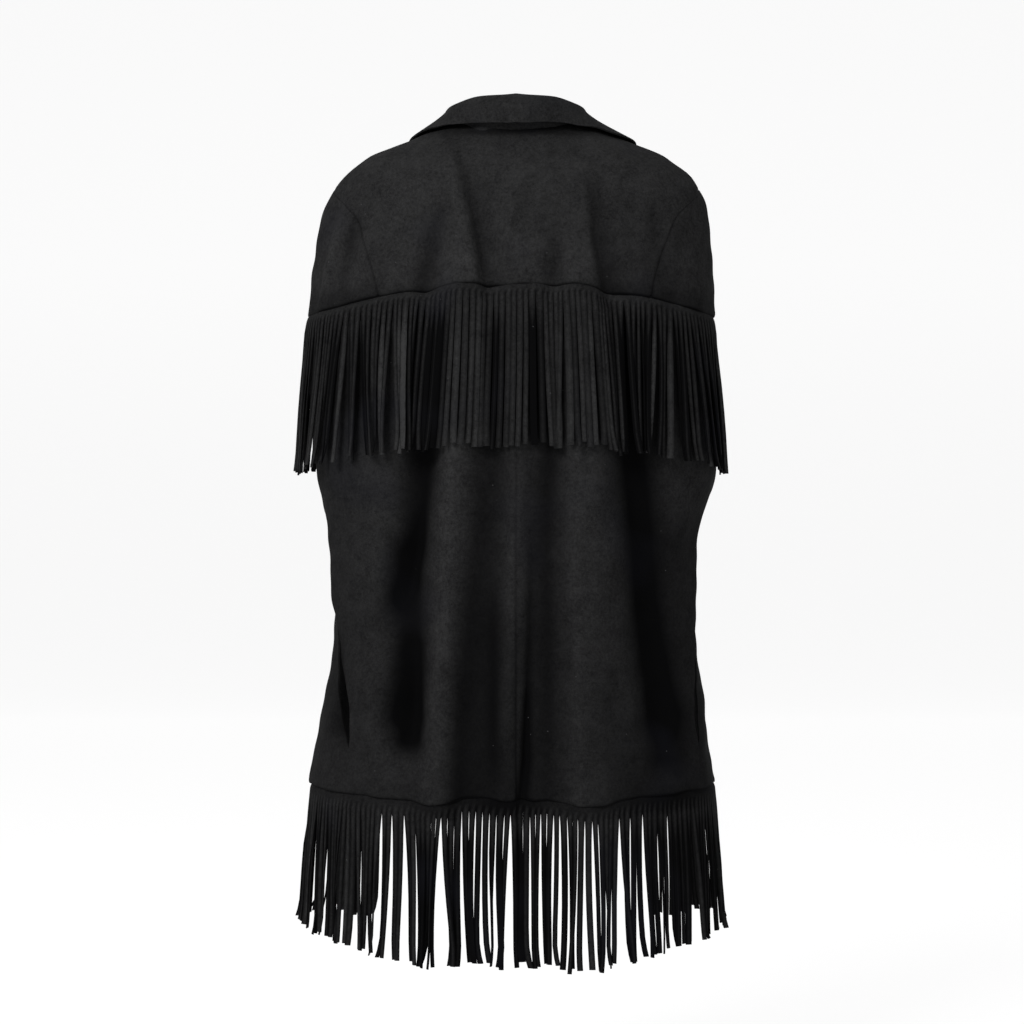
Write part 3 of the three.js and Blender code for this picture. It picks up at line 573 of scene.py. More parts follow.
# %% [markdown]
# ## The panels
# The cape is cut from nine panels: a yoke over the shoulders in five pieces and a body in four. The
# same function makes each of them between two seam lines. What differs is which of its edges are sewn:
# a sewn edge rolls in, and a free one, such as a front edge or the edge of an arm opening, stays flat.
# %% Panels
UNDER_FRINGE = {"depth": 2.6, "reach": 9}
flat_sizes, pieces = {}, {}


def roll_at(distances, sewn):
    roll = 0
    for side, distance in distances.items():
        roll = roll + sewn.get(side, 0) * hump(distance / SEAM_ROLL["width"])
    return roll * SEAM_ROLL["depth"]


def panel(name, top, bottom, left_line, right_line, sewn):
    middle = np.array((top + bottom) / 2)
    left, right = left_line(middle), right_line(middle)
    height = lengths(cloth_point((left + right) / 2, np.linspace(top, bottom, 60))[:, None], 0)[0]
    downs = mix(top, bottom, shares_along(height))
    widths = [
        lengths(cloth_point(np.linspace(left_line(d), right_line(d), 80), d)[None], 1)[0]
        for d in downs[:: len(downs) // 8]
    ]
    shares = shares_along(max(widths))
    lefts, rights = left_line(downs)[:, None], right_line(downs)[:, None]
    angles = mix(lefts, rights, shares[None])
    points = cloth_point(angles, downs[:, None])
    normals = cloth_normal(angles, downs[:, None])
    across, along = gone_along(points, 1), gone_along(points, 0)
    distances = {
        "top": along, "bottom": along[-1:] - along, "left": across, "right": across[:, -1:] - across,
    }
    inset = roll_at(distances, sewn)
    if top == 0:
        inset = inset + UNDER_FRINGE["depth"] * hump(along / UNDER_FRINGE["reach"])
    smooth, _, _ = smooth_place(angles, downs[:, None])
    flat_sizes[name] = (max(widths), float(lengths(points, 0).max()), float(sheet_area(points)))
    points = points.copy()
    for grid, inwards in ((points, SEAM_GAP / 2), (points.swapaxes(0, 1), -SEAM_PRESS)):
        for edge, inner in ((0, 1), (-1, -2)):
            grid[edge] += inwards * unit(grid[inner] - grid[edge])
    placed = points - normals * inset[..., None]
    painted_shades_and_tones = painted_shade_of(smooth, BODY_PAINTED_SHADE if top == 0 else 0)
    # painted shade along the rolled seams
    painted_shades_and_tones = painted_shades_and_tones + SEAM_PAINTED_SHADE * np.clip(roll_at(distances, sewn) / SEAM_ROLL["depth"], 0, 1)
    if top == 0:
        upwards = unit(points[:1] - points[1:2])
        tucked = placed[:1] + ALLOWANCE["width"] * upwards - normals[:1] * ALLOWANCE["depth"]
        placed, painted_shades_and_tones = np.concatenate([tucked, placed]), np.concatenate([painted_shades_and_tones[:1], painted_shades_and_tones])
    pieces[name] = sheet_from(name + "_cloth", placed, WALL, painted_shades_and_tones)


ALL_ROUND = {"bottom": 1, "left": 0.6, "right": 0.6}
SHOULDER_TIP = ARMHOLE["at"][0] - 1
panel("back_yoke", -1, 0, *YOKE_EDGES["back"], ALL_ROUND)
panel("front_yoke_right", -1, 0, *YOKE_EDGES["front_right"], {"bottom": 1, "left": 0.6})
panel("front_yoke_left", -1, 0, *YOKE_EDGES["front_left"], {"bottom": 1, "right": 0.6})
panel("shoulder_cap_right", SHOULDER_TIP, 0, *YOKE_EDGES["right"], ALL_ROUND)
panel("shoulder_cap_left", SHOULDER_TIP, 0, *YOKE_EDGES["left"], ALL_ROUND)
panel("back_body_left", 0, 1, *BODY_EDGES["back_left"], {"bottom": 0.5, "right": 0.3})
panel("back_body_right", 0, 1, *BODY_EDGES["back_right"], {"bottom": 0.5, "left": 0.3})
panel("front_body_right", 0, 1, *BODY_EDGES["front_right"], {"bottom": 0.5})
panel("front_body_left", 0, 1, *BODY_EDGES["front_left"], {"bottom": 0.5})
for name, (width, length, area) in flat_sizes.items():
    print(f"{name}: {width:.0f} x {length:.0f} mm, {area / 1e6:.4f} m2")

# %% [markdown]
# ## The collar
# A shirt collar in soft suede: it stands up from the neck seam, rolls over, and its leaf falls over
# the shoulders. It is one folded piece, so it is modelled as one sheet. Each column of the grid is a
# smooth curve through six places: the seam allowance inside the neck, the foot, both sides of the roll
# with its top between them, and the edge of the leaf.
# %% Collar
COLLAR = table(
    "at rise lean reach_left reach_right stand_off",
    (0, 34, 3, 0, 0, 12),
    (35, 29, 3, 4, 4, 10),
    (60, 19, 3, 14, 18, 7),
    (78, 14, 2, 28, 42, 5),
    (92, 12, 2, 42, 60, 4),
    (115, 12, 3, 60, 68, 4),
    (145, 11, 5, 66, 67, 4),
)
COLLAR_ROLL = {"half": 3.6, "high": 4.4}
COLLAR_FOOT = {"under": 3, "depth": 2.4}
COLLAR_GRID = {"rows": 40, "columns": 150}


def curve_through(knots, shares):
    """A smooth curve through points, with no overshoot where they lie close together."""
    knots = np.stack([2 * knots[0] - knots[1], *knots, 2 * knots[-1] - knots[-2]])
    gaps = np.sqrt(np.linalg.norm(np.diff(knots, axis=0), axis=-1))[..., None]
    curve = []
    for share in shares:
        along = share * (len(knots) - 3)
        i = min(int(along), len(knots) - 4)
        t, (p0, p1, p2, p3), (g0, g1, g2) = along - i, knots[i : i + 4], gaps[i : i + 3]
        from_slope = ((p1 - p0) / g0 - (p2 - p0) / (g0 + g1) + (p2 - p1) / g1) * g1
        to_slope = ((p2 - p1) / g1 - (p3 - p1) / (g1 + g2) + (p3 - p2) / g2) * g1
        curve.append(bend(t, p1, p2, from_slope, to_slope))
    return np.stack(curve)


def collar_edge(angle, row):
    reach = np.where(angle > 0, row["reach_right"], row["reach_left"])
    downs = np.linspace(-1, -0.6, 161)
    gone = gone_along(cloth_point(angle[:, None], downs[None]), 1)
    down = np.array([np.interp(r, g, downs) for r, g in zip(reach, gone)])
    return cloth_point(angle, down) + cloth_normal(angle, down) * row["stand_off"][:, None]


def collar_points():
    reach = float(front_edge(np.array(-1.0)))
    angle = np.linspace(-reach, reach, COLLAR_GRID["columns"])
    row = read_table(COLLAR, np.degrees(np.abs(angle)))
    top = -np.ones_like(angle)
    neck, outward, _ = smooth_place(angle, top)
    along = smooth_place(angle + 0.01, top)[0] - smooth_place(angle - 0.01, top)[0]
    away = unit(np.cross(cloth_normal(angle, top), along))
    foot = neck + away * (WALL / 2 + 2 * SEAM_GAP)

    def place(out, up):
        return foot + outward * out[:, None] + np.array([0, 0, 1]) * up[:, None]

    half, high = COLLAR_ROLL["half"], COLLAR_ROLL["high"]
    knots = np.stack([
        neck - away * COLLAR_FOOT["under"] - cloth_normal(angle, top) * COLLAR_FOOT["depth"],
        foot,
        place(row["lean"], row["rise"] - high),
        place(row["lean"] + half, row["rise"]),
        place(row["lean"] + 2 * half, row["rise"] - high),
        collar_edge(angle, row),
    ])
    return curve_through(knots, np.linspace(0, 1, COLLAR_GRID["rows"]))


points = collar_points()
flat_sizes["collar"] = (
    float(lengths(points, 1).max()), float(lengths(points, 0).max()), float(sheet_area(points)),
)
pieces["collar"] = sheet_from("collar_cloth", points, WALL, np.zeros(points.shape[:2]))
print("collar:", [round(v) for v in flat_sizes["collar"]])

# %% [markdown]
# ## The fringe
# A fringe is a strip of the same suede, cut into strands from its lower edge up to an uncut band. It
# is made here in the same way: a grid, with the faces between the strands deleted below the band.
# Nothing is lost in a real cut, so strands lie edge to edge at the band. Lower down they turn, lean on
# each other and curl a little at their ends, and only that opens gaps between them.
# %% Fringe sizes
# level is 0 at the yoke seam and 1 at the hem, and steps say how far down and how deep the rows of a
# strip's upper edge lie. nap is how much darker the whole strip and its strands are made, and beside is
# the painted shade on both edges of each strand and at the top of the cuts, so that strands look
# rounded and the cuts look dark
YOKE_FRINGE = {
    "level": 0, "strip": 8, "length": 160, "pitch": 5.8, "narrow": 0.08, "slot": 0.2, "cup": 0.5,
    "nap": 0.25, "beside": 1.05, "closes": (0.05, 0.4), "steps": ((0.3, 1.5), (1.6, 0.5), (4, 0)),
}
HEM_FRINGE = {
    "level": 1, "strip": 13, "length": 160, "pitch": 6.2, "narrow": 0.16, "slot": 0, "cup": 0.4,
    "nap": 0.6, "beside": 0.95, "closes": (0.2, 0.55),
    "steps": ((-4, 2.6), (0.3, 2.0), (2.2, 1.2), (5, 0.4)),
}
CUT = {"narrowest": 0.74, "widest": 1.26, "lost": 0.2}
ENDS = {"shorter": -0.025, "longer": 0.01}
TURN = {"by_chance": 24, "in_a_run": 50}
LOOSE = {"least": -1, "most": 2.4, "in_a_run": 2.2}
SWAY, CURL = 1, 1.8
TONE = {"listed": 1.4, "by_chance": 0.55, "unlisted": (-0.1, 0.2)}
RUN_SIZES, RUN_CENTRES, RUN_SWAY = (2, 5), (0.3, 0.7), 1.8
STRAYS = {"share": 0.1, "aside": 6, "out": 2.4, "paler": 0.3}
FLUSH = {"from": -66, "to": 76, "lively": 0.35}
TIP_PALER = {"all": 0.25, "left": 0.65, "left_of": -105}
STRAND_ROWS = (0.06, 0.14, 0.26, 0.42, 0.58, 0.74, 0.87, 0.95, 1)
CURLS_FROM, LIFTS_FROM = 0.8, 0.85
LEAN_BEND, SWAY_BEND = 1.2, 3
SETS_IN = {"turn": 1.5, "narrowing": 10, "cup": 3, "tone": 3}
SLOT_AT = {"share": 0.14, "reach": 0.12}
FACES_BACK = 0.45
FRONT_FAN = {"sideways": 15, "centre": 66, "spread": 24}
YOKE_FALL = {"outwards": 4, "clear_after": 1.6, "looks_aside": 0.03, "gap": 0.4}
HEM_FALL = {"outwards": 8, "side_shorter": 20, "fold_kept": 0.7}
chance = np.random.default_rng(11)


def rail_under(left_line, right_line, level):
    """The bottom edge of a panel: its length, and the angle at a distance along it or just past it."""
    down = np.full(500, float(level))
    angles = np.linspace(left_line(down)[0], right_line(down)[0], 500)
    gone = gone_along(cloth_point(angles, down), 0)

    def angle_at(distance):
        past = distance - np.clip(distance, 0, gone[-1])
        return np.interp(distance, gone, angles) + past * (angles[-1] - angles[0]) / gone[-1]

    return gone[-1], angle_at


def yoke_strand(root_angle, angle, fallen, loose):
    """Places down a strand that hangs from the yoke seam over the folds of the body."""
    root, _, _ = smooth_place(root_angle, 0.0)
    side_length, back_length = YOKE_SEAM["side"] - HEM["side"], YOKE_SEAM["back"] - HEM["back"]
    down = fallen / mix(side_length, back_length, np.abs(root[..., 1]) / BODY_SECTIONS["back"][0])
    share = np.clip(fallen / YOKE_FRINGE["length"], 0, 1)
    point, outward, _ = smooth_place(angle, np.maximum(down, 0))
    level = smooth_place(angle, 0.0)[0] - point
    level[..., 2] = 0
    overhang = np.maximum(0, (level * outward).sum(-1))
    lifted = ease(fallen / (YOKE_FALL["clear_after"] * YOKE_FRINGE["strip"]))
    clear = ((WALL + FRINGE_WALL) / 2 + YOKE_FALL["gap"]) * lifted + overhang
    clear = clear + share * (YOKE_FALL["outwards"] + loose)
    root_fold, look = folds_at(root), YOKE_FALL["looks_aside"]
    besides = [folds_at(smooth_place(angle + aside, down)[0]) for aside in (-look, 0, look)]
    fold = np.maximum(root_fold * (1 - share), np.max(besides, axis=0))
    moved = point + outward * (mix(root_fold, fold, lifted) + clear)[..., None]
    moved[..., 2] += root_fold * FOLD_LIFT["yoke"] + np.where(down < 0, -fallen, 0)
    return moved, outward


def hem_strand(root_angle, angle, fallen, loose):
    """Places down a strand that hangs free below the hem."""
    point, outward, _ = smooth_place(angle, 1.0)
    share = np.clip(fallen / HEM_FRINGE["length"], 0, 1)
    fold = mix(folds_at(smooth_place(root_angle, 1.0)[0]), folds_at(point) * HEM_FALL["fold_kept"], share)
    moved = point + outward * (fold + share * (HEM_FALL["outwards"] + loose))[..., None]
    moved[..., 2] = cloth_point(root_angle, 1.0)[..., 2] - fallen
    return moved, outward


# %% [markdown]
# ## Runs of strands
# Strands don't hang evenly: a few neighbours lean together towards one point and leave a gap beside
# them. A cloth simulation could bunch them too, but not where the photograph shows it. So the back is
# listed as runs: where their roots are, across from the middle, where their tips have come, and how
# pale they are. Strands of a run that closes up lie over each other, so they turn on edge and fan out
# in depth, like shingles. The sides and the front get runs of their own by a seeded chance.
# %% Run tables
# roots from, tips from and to, paler: a run's roots end where the next row's begin. Paler says how
# much paler its strands are made, darker below 0: partly their own tone, and partly painted light and
# shade, paler where strands face the main light and darker where they hang in a fold's shade
YOKE_RUNS = np.array([
    (-204, -208, -204, -0.2), (-190, -203, -198, -0.3), (-180, -190, -184, -0.2), (-168, -171, -165, 0.2),
    (-162, -159, -153, -0.3), (-151, -141, -136, -0.4), (-140, -136, -130, -0.3), (-130, -126, -121, 0.8),
    (-124, -120, -109, -0.4), (-115, -110, -100, 1), (-105, -102, -96, -0.3), (-94, -96, -87, -0.45),
    (-83, -86, -74, -0.55), (-69, -73, -61, -0.1), (-58, -60, -45, 0.1), (-45, -46, -28, 0.1),
    (-27, -29, -18, -0.55), (-15, -17, 12, 0), (14, 14, 31, -0.5), (28, 32, 45, -0.1), (46, 46, 75, 0.1),
    (74, 78, 87, 0), (85, 88, 96, -0.3), (97, 97, 103, -0.5), (109, 106, 113, -0.5),
    (121, 115, 121, -0.5), (133, 122, 128, 0.5), (139, 130, 135, -0.1), (145, 137, 143, 0.2),
    (151, 151, 159, -0.1), (163, 169, 176, 0.4), (174, 182, 187, -0.1), (182, 190, 197, -0.2),
    (194, 197, 197, 0),
])
HEM_RUNS = np.array([
    (-205, -200, -189, 0), (-190, -187, -182, 0.1), (-181, -178, -170, 0), (-169, -167, -157, 0.6),
    (-155, -152, -145, 0), (-144, -142, -134, 0.2), (-133, -131, -127, 0), (-124, -120, -112, 0),
    (-107, -101, -97, 0.1), (-100, -94, -86, -0.1), (-82, -83, -78, 0.1), (-70, -62, -57, 0),
    (-58, -55, -51, 0.2), (-52, -45, -37, 0), (-33, -30, -26, 0.1), (-27, -23, -19, 0),
    (-17, -13, -6, 0.1), (-4, -2, 13, 0), (15, 16, 21, 0.1), (24, 27, 38, -0.1), (44, 43, 47, 0.1),
    (50, 51, 60, 0), (64, 69, 75, 0.1), (74, 78, 87, 0), (92, 90, 94, 0.1), (98, 104, 111, 0),
    (116, 118, 122, 0.1), (121, 127, 134, 0), (134, 136, 143, 0.1), (146, 148, 157, 0),
    (159, 160, 168, 0.1), (171, 171, 176, 0), (178, 178, 188, 0), (194, 188, 188, 0),
])


def runs_of_chance(count, close):
    """Moves of the tips in pitches, how far each run closes up, and how far its middle sways aside."""
    moves, closing, sway, start = np.zeros(count), np.zeros(count), np.zeros(count), 0
    while start < count:
        size = min(chance.integers(*RUN_SIZES), count - start)
        run = np.arange(start, start + size)
        centre = start + (size - 1) * chance.uniform(*RUN_CENTRES)
        closing[run] = chance.uniform(*close)
        moves[run] = (centre - run) * closing[run]
        sway[run] = chance.uniform(-RUN_SWAY, RUN_SWAY)
        start += size
    return moves, closing, sway


def leanings(kind, runs, angle_at, middles):
    """For each tip: its move along the rail, how far its run closes up, its sway, tone and liveliness."""
    level, step = np.full(len(middles), float(kind["level"])), 0.5
    ahead = cloth_point(angle_at(middles + step), level)
    behind = cloth_point(angle_at(middles - step), level)
    x, across = (ahead + behind)[:, 0] / 2, (ahead - behind)[:, 0] / (2 * step)
    moves, closing, sway = runs_of_chance(len(middles), kind["closes"])
    moves, tone = moves * kind["pitch"], chance.uniform(*TONE["unlisted"], len(middles))
    i = np.clip(np.searchsorted(runs[:, 0], x, "right") - 1, 0, len(runs) - 2)
    root_to, (root_from, tip_from, tip_to, paler) = runs[i + 1, 0], runs[i].T
    listed = (across > FACES_BACK) & (x > root_from) & (x < root_to)
    ratio = (tip_to - tip_from) / (root_to - root_from)
    listed_moves = (tip_from + (x - root_from) * ratio - x) / np.maximum(across, FACES_BACK)
    degrees = np.degrees(angle_at(middles))
    fan = FRONT_FAN["sideways"] * hump((np.abs(degrees) - FRONT_FAN["centre"]) / FRONT_FAN["spread"])
    moves = moves + (np.sign(degrees) * fan if kind["level"] == 0 else 0)
    flush = listed & (kind["level"] == 0) & (x > FLUSH["from"]) & (x < FLUSH["to"])
    return (
        np.where(listed, listed_moves, moves), np.where(listed, np.clip(1 - ratio, 0, 1), closing),
        sway, np.where(listed, paler, tone), np.where(flush, FLUSH["lively"], 1),
    )


# %% Combs
HALF = np.array([-0.5, 0, 0.5])
# painted shade on both edges of a strand, none on its middle
EDGES_OF_STRAND = np.array([1, 0, 1])


def strip_rows(kind, angles, strand_at):
    """The rows of the uncut strip, from its upper edge under the panel down to where the cuts begin."""
    still = np.zeros(len(angles))
    rows = []
    for fallen, depth in (*kind["steps"], (kind["strip"], 0)):
        placed, outward = strand_at(angles, angles, still + fallen, still)
        rows.append(placed - outward * depth)
    return rows


def strand_chances(kind, closing, lively, tone):
    """Draws how each strand turns, hangs loose, sways, curls and differs in tone."""
    count = len(closing)
    order = np.arange(count) % 2 * 2 - 1
    strays = chance.random(count) < STRAYS["share"] * lively
    stray = np.where(strays, chance.choice([-1, 1], count), 0)
    turn = chance.normal(0, TURN["by_chance"], count) + order * TURN["in_a_run"] * closing
    loose = chance.uniform(LOOSE["least"], LOOSE["most"], count) * lively
    loose += order * LOOSE["in_a_run"] * closing + np.abs(stray) * STRAYS["out"]
    sway = chance.uniform(-SWAY, SWAY, count)
    curl = chance.normal(0, CURL, count) * lively
    tone = (tone + np.abs(stray) * STRAYS["paler"]) * TONE["listed"]
    tone += chance.uniform(-TONE["by_chance"], TONE["by_chance"], count) - kind["nap"]
    return stray, np.radians(turn) * lively, loose, sway, curl, tone


def past_start(share, start):
    """0 down to where the last part of a strand starts, and 1 at its tip."""
    return max(0, (share - start) / (1 - start)) ** 2


def comb(name, edges, kind, runs, strand_at, lengths_at):
    """A strip with strands cut into it: three columns a strand, cut apart below the strip."""
    rail_length, angle_at = rail_under(*edges, kind["level"])
    count = int(round(rail_length / kind["pitch"]))
    cut_widths = chance.uniform(CUT["narrowest"], CUT["widest"], count)
    cut_widths *= rail_length / cut_widths.sum()
    middles = np.cumsum(cut_widths) - cut_widths / 2
    across = (middles[:, None] + HALF * (cut_widths[:, None] - CUT["lost"])).ravel()
    rows = strip_rows(kind, angle_at(across), strand_at)
    strip_count = len(rows)
    shade_and_tone_rows = [np.full(3 * count, kind["nap"]) for _ in rows]
    beside = EDGES_OF_STRAND * kind["beside"]
    shade_and_tone_rows[-1] = np.tile(beside, count)

    moves, closing, sway, tone, lively = leanings(kind, runs, angle_at, middles)
    ends = lengths_at(angle_at(middles)) * (1 + chance.uniform(ENDS["shorter"], ENDS["longer"], count))
    stray, turn, loose, more_sway, curl, tone = strand_chances(kind, closing, lively, tone)
    moves, sway = moves + stray * STRAYS["aside"], (sway + more_sway) * lively
    roots = cloth_point(angle_at(middles), float(kind["level"]))
    at_left = (kind["level"] == 0) & (roots[:, 0] < TIP_PALER["left_of"]) & (roots[:, 1] < 0)
    tip_paler = np.where(at_left, TIP_PALER["left"], TIP_PALER["all"])
    # the hem fringe takes the painted shade of the back just above it
    if kind is HEM_FRINGE:
        shade = np.where(roots[:, 1] < 0, fold_height(BACK_PAINTED_SHADE, roots[:, 0], roots[:, 2]), 0)
        tone = tone - shade
        shade_and_tone_rows = [row + np.repeat(shade, 3) for row in shade_and_tone_rows]

    for share in STRAND_ROWS:
        aside = moves * share**LEAN_BEND + sway * np.sin(SWAY_BEND * share)
        aside += curl * past_start(share, CURLS_FROM)
        fallen = mix(kind["strip"], ends, share)
        centre, outward = strand_at(angle_at(middles), angle_at(middles + aside), fallen, loose)
        tangent = np.stack([-outward[:, 1], outward[:, 0], np.zeros(count)], -1)
        yaw = (turn * ease(share * SETS_IN["turn"]))[:, None]
        flat = tangent * np.cos(yaw) + outward * np.sin(yaw)
        face = outward * np.cos(yaw) - tangent * np.sin(yaw)
        lifted = np.abs(curl) * past_start(share, LIFTS_FROM)
        clear = np.abs(np.sin(yaw[:, 0])) * cut_widths / 2 + lifted
        narrowed = kind["narrow"] + kind["slot"] * hump((share - SLOT_AT["share"]) / SLOT_AT["reach"])
        width = (cut_widths - CUT["lost"]) * (1 - narrowed * lively * ease(share * SETS_IN["narrowing"]))
        cup = kind["cup"] * lively[:, None] * math.sin(math.pi * min(share * SETS_IN["cup"], 0.5))
        centre = centre + outward * clear[:, None]
        row = [centre + flat * (h * width)[:, None] + face * (cup if h == 0 else 0) for h in HALF]
        rows.append(np.stack(row, 1).reshape(-1, 3))
        paler = (tone + tip_paler * share**2)[:, None] * ease(share * SETS_IN["tone"])
        shade_and_tone_rows.append((beside[None] * (0.5 + 0.5 * lively[:, None]) - paler).ravel())
    grid = np.stack(rows)
    cut_away = np.zeros(grid.shape[:2], bool)
    cut_away[strip_count - 1 :, 2::3] = True
    flat_sizes[name] = (rail_length, kind["length"], rail_length * kind["length"])
    pieces[name] = sheet_from(name + "_cloth", grid, FRINGE_WALL, np.stack(shade_and_tone_rows), cut_away)
    return count


def even_length(angle):
    return np.full(len(angle), float(YOKE_FRINGE["length"]))


def hem_length(angle):
    return HEM_FRINGE["length"] - HEM_FALL["side_shorter"] * np.sin(angle) ** 4


strands = 0
for side, edges in YOKE_EDGES.items():
    strands += comb("yoke_fringe_" + side, edges, YOKE_FRINGE, YOKE_RUNS, yoke_strand, even_length)
for side, edges in BODY_EDGES.items():
    strands += comb("hem_fringe_" + side, edges, HEM_FRINGE, HEM_RUNS, hem_strand, hem_length)
print(strands, "strands")

# %% [markdown]
# ## Shader arithmetic
# A finish is easier to read as sums than as a drawing of nodes. One small class wraps a socket, so
# that plain Python arithmetic on it adds Math nodes, and one method makes every other node.
# %% Sockets as numbers
class Socket:
    def __init__(self, tree, socket):
        self.tree, self.socket = tree, socket

    def node(self, kind, settings, inputs, output=0):
        made = self.tree.nodes.new(kind)
        for name, value in settings.items():
            setattr(made, name, value)
        for key, value in inputs.items():
            if isinstance(value, Socket):
                self.tree.links.new(value.socket, made.inputs[key])
            else:
                made.inputs[key].default_value = value
        return Socket(self.tree, made.outputs[output])

    def maths(self, operation, *values):
        return self.node("ShaderNodeMath", {"operation": operation}, dict(enumerate(values)))

    def __add__(self, other):
        return self.maths("ADD", self, other)

    __radd__ = __add__

    def __mul__(self, other):
        return self.maths("MULTIPLY", self, other)

    def __sub__(self, other):
        return self.maths("SUBTRACT", self, other)

    def __rsub__(self, other):
        return self.maths("SUBTRACT", other, self)

    def clamp(self):
        return self.node("ShaderNodeClamp", {}, {0: self})


def set_inputs(shader, values):
    for name, value in values.items():
        shader.inputs[name].default_value = value


# %% [markdown]
# ## Suede
# Suede is leather with its inner side brushed up, so it has no gloss. What shows is a short nap: a
# fine grain, with blotches where the nap was stroked another way. The light and shade of the folds is
# painted into the colour as well, darker in the folds and paler on a crest, because a flat black would
# lose all folds. So the colour is mixed from a deep and a paler black by several noises of different
# size and by the painted shade noted on the mesh, and a fine bump breaks up the light.
# %% Suede material
# the black of full painted shade, and the black of a crest in full painted light
DEEP_BLACK = (0.0019, 0.0019, 0.0021, 1)
LIT_BLACK = (0.0298, 0.0298, 0.0302, 1)
BLUISH_BLACK = (0.0092, 0.0095, 0.0135, 1)
PALE_LINT = (0.07, 0.07, 0.072, 1)
# scale, detail and roughness of each noise
NOISES = {
    "blotches": (26, 2.0, 0.55), "stroked": (90, 3.0, 0.7), "nap": (330, 4.0, 0.7),
    "grain": (1300, 2.0, 0.7), "patches": (11, 1.0, 0.55),
}
# how strongly each of them mottles the black
MOTTLING = {"blotches": 0.8, "stroked": 1.1, "nap": 1.9, "grain": 2}
PAINTED_LIGHTNESS = {"level": 0.47, "by_painted_shade_and_tone": 0.37}
PATCHES = {"from": 0.56, "edge": 4, "strength": 0.4}
LINT = {"scale": 45, "size": 0.03, "edge": 80, "strength": 0.6}
NAP_BUMP = {"Strength": 0.5, "Distance": 0.0006}
NO_GLOSS = {"Roughness": 0.97, "Specular IOR Level": 0.03}


def suede():
    material = bpy.data.materials.new("black_suede")
    material.use_nodes = True
    tree = material.node_tree
    shader = tree.nodes["Principled BSDF"]
    start = Socket(tree, None)
    place = start.node("ShaderNodeTexCoord", {}, {}, "Object")

    def noise(scale, detail, rough):
        inputs = {"Vector": place, "Scale": scale, "Detail": detail, "Roughness": rough}
        return start.node("ShaderNodeTexNoise", {"noise_dimensions": "3D"}, inputs, 0)

    noises = {name: noise(*row) for name, row in NOISES.items()}
    painted_shade_and_tone = start.node("ShaderNodeAttribute", {"attribute_name": "painted_shade_and_tone"}, {}, "Fac")
    mottled = sum((noises[name] - 0.5) * strength for name, strength in MOTTLING.items())
    # painted light and shade from the mesh, mottled by the nap's noises
    lightness = (PAINTED_LIGHTNESS["level"] - painted_shade_and_tone * PAINTED_LIGHTNESS["by_painted_shade_and_tone"]).clamp() * (1 + mottled)
    mixed = {"data_type": "RGBA"}
    black = start.node("ShaderNodeMix", mixed, {0: lightness, 6: DEEP_BLACK, 7: LIT_BLACK}, 2)
    patches = ((noises["patches"] - PATCHES["from"]) * PATCHES["edge"]).clamp() * PATCHES["strength"]
    coloured = start.node("ShaderNodeMix", mixed, {0: patches, 6: black, 7: BLUISH_BLACK}, 2)
    lint = start.node("ShaderNodeTexVoronoi", {}, {"Vector": place, "Scale": LINT["scale"]}, 0)
    specks = ((LINT["size"] - lint) * LINT["edge"]).clamp() * LINT["strength"]
    coloured = start.node("ShaderNodeMix", mixed, {0: specks, 6: coloured, 7: PALE_LINT}, 2)
    height = noises["nap"] * 0.5 + noises["grain"] * 0.5
    bump = start.node("ShaderNodeBump", {}, {**NAP_BUMP, "Height": height})
    tree.links.new(coloured.socket, shader.inputs["Base Color"])
    tree.links.new(bump.socket, shader.inputs["Normal"])
    set_inputs(shader, NO_GLOSS)
    return material


black_suede = suede()
for piece in pieces.values():
    piece.data.materials.append(black_suede)
print(len(pieces), "pieces in black suede")

# %% [markdown]
# ## The studio
# The photograph was taken against plain white, straight from behind and level with the middle of the
# cape. A floor that sweeps up into a wall has no horizon line, and it glows a little, as backlit paper
# does, so that it stays white without a strong light on the cape. The main light stands to the left
# and above, because the folds' right flanks are dark, and a weak one on the right fills them.
# %% Floor, light and camera
FLOOR_LEVEL = -1.02
SWEEP = {"width": 18, "front": -7, "back": 6.5, "radius": 1.5, "height": 6}
WHITE = (1, 1, 1, 1)
PAPER = {
    "Base Color": (0.25, 0.25, 0.25, 1), "Emission Color": WHITE, "Emission Strength": 0.8,
    "Roughness": 0.9,
}
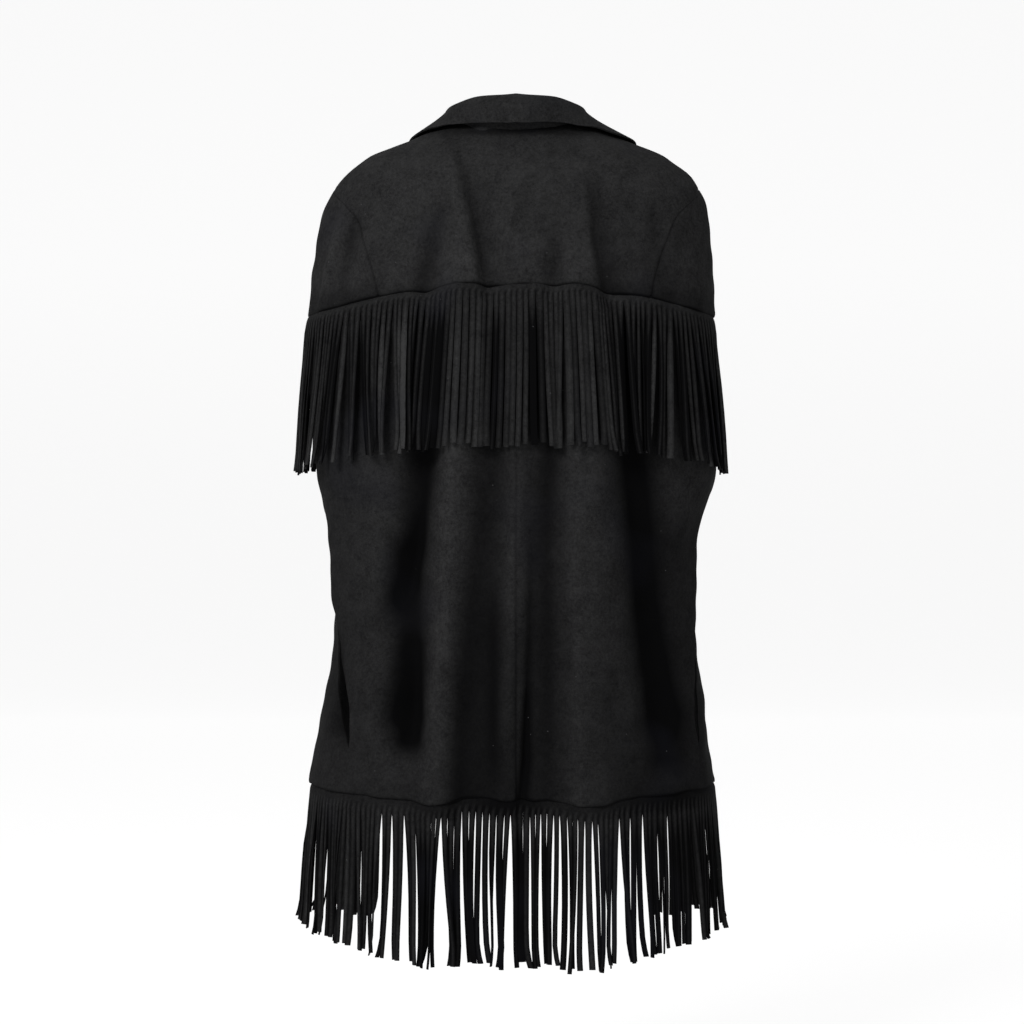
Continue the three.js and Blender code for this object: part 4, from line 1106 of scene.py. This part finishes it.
# place, turn in degrees, size and power
LIGHTS = {
    "key_light": ((-1.5, -2.2, 1.5), (53, 0, -34), 1.3, 84),
    "fill_light": ((1.3, -2.8, 0.2), (78, 0, 25), 1.4, 12),
    "top_light": ((0, 0.4, 2.4), (0, 0, 0), 3.0, 40),
}
SKY = {"Color": WHITE, "Strength": 0.2}
CAMERA = {"place": (-0.0041, -2.6, -0.3967), "lens": 89.18, "sensor": 36}


def sweep():
    line, radius = [(SWEEP["front"], FLOOR_LEVEL)], SWEEP["radius"]
    for angle in np.radians(np.linspace(0, 90, 13)):
        inwards, upwards = radius * (1 - math.sin(angle)), radius * (1 - math.cos(angle))
        line.append((SWEEP["back"] - inwards, FLOOR_LEVEL + upwards))
    line.append((SWEEP["back"], FLOOR_LEVEL + SWEEP["height"]))
    piece, row, column = unit_grid("studio_sweep", len(line), 2)
    backwards = line[::-1]
    points = [((c - 0.5) * SWEEP["width"], *backwards[r]) for r, c in zip(row, column)]
    piece.data.vertices.foreach_set("co", np.array(points, float).ravel())
    bpy.ops.object.shade_smooth()
    paper = bpy.data.materials.new("white_paper")
    paper.use_nodes = True
    set_inputs(paper.node_tree.nodes["Principled BSDF"], PAPER)
    piece.data.materials.append(paper)


sweep()
for name, (place, turn, size, power) in LIGHTS.items():
    bpy.ops.object.light_add(type="AREA", location=place, rotation=[math.radians(v) for v in turn])
    light = bpy.context.object
    light.name = name
    light.data.size, light.data.energy = size, power
world = bpy.context.scene.world or bpy.data.worlds.new("studio")
bpy.context.scene.world = world
world.use_nodes = True
set_inputs(world.node_tree.nodes["Background"], SKY)
bpy.ops.object.camera_add(location=CAMERA["place"], rotation=(math.radians(90), 0, 0))
camera = bpy.context.object
camera.data.lens, camera.data.sensor_width = CAMERA["lens"], CAMERA["sensor"]
bpy.context.scene.camera = camera
bpy.context.scene.view_settings.view_transform = "Standard"

# %% [markdown]
# ## The sheets in place of the solids
# Each sheet stands for its solid, which is hidden, and rides on the cape's one body. Its flat size is
# what it measures along its rows and columns before the wall is added.
# %% Sheets and their solids
for name, piece in pieces.items():
    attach(piece, "root")
    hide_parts(name)
    width, length, area = flat_sizes[name]
    width * MM
    length * MM
    area * MM * MM
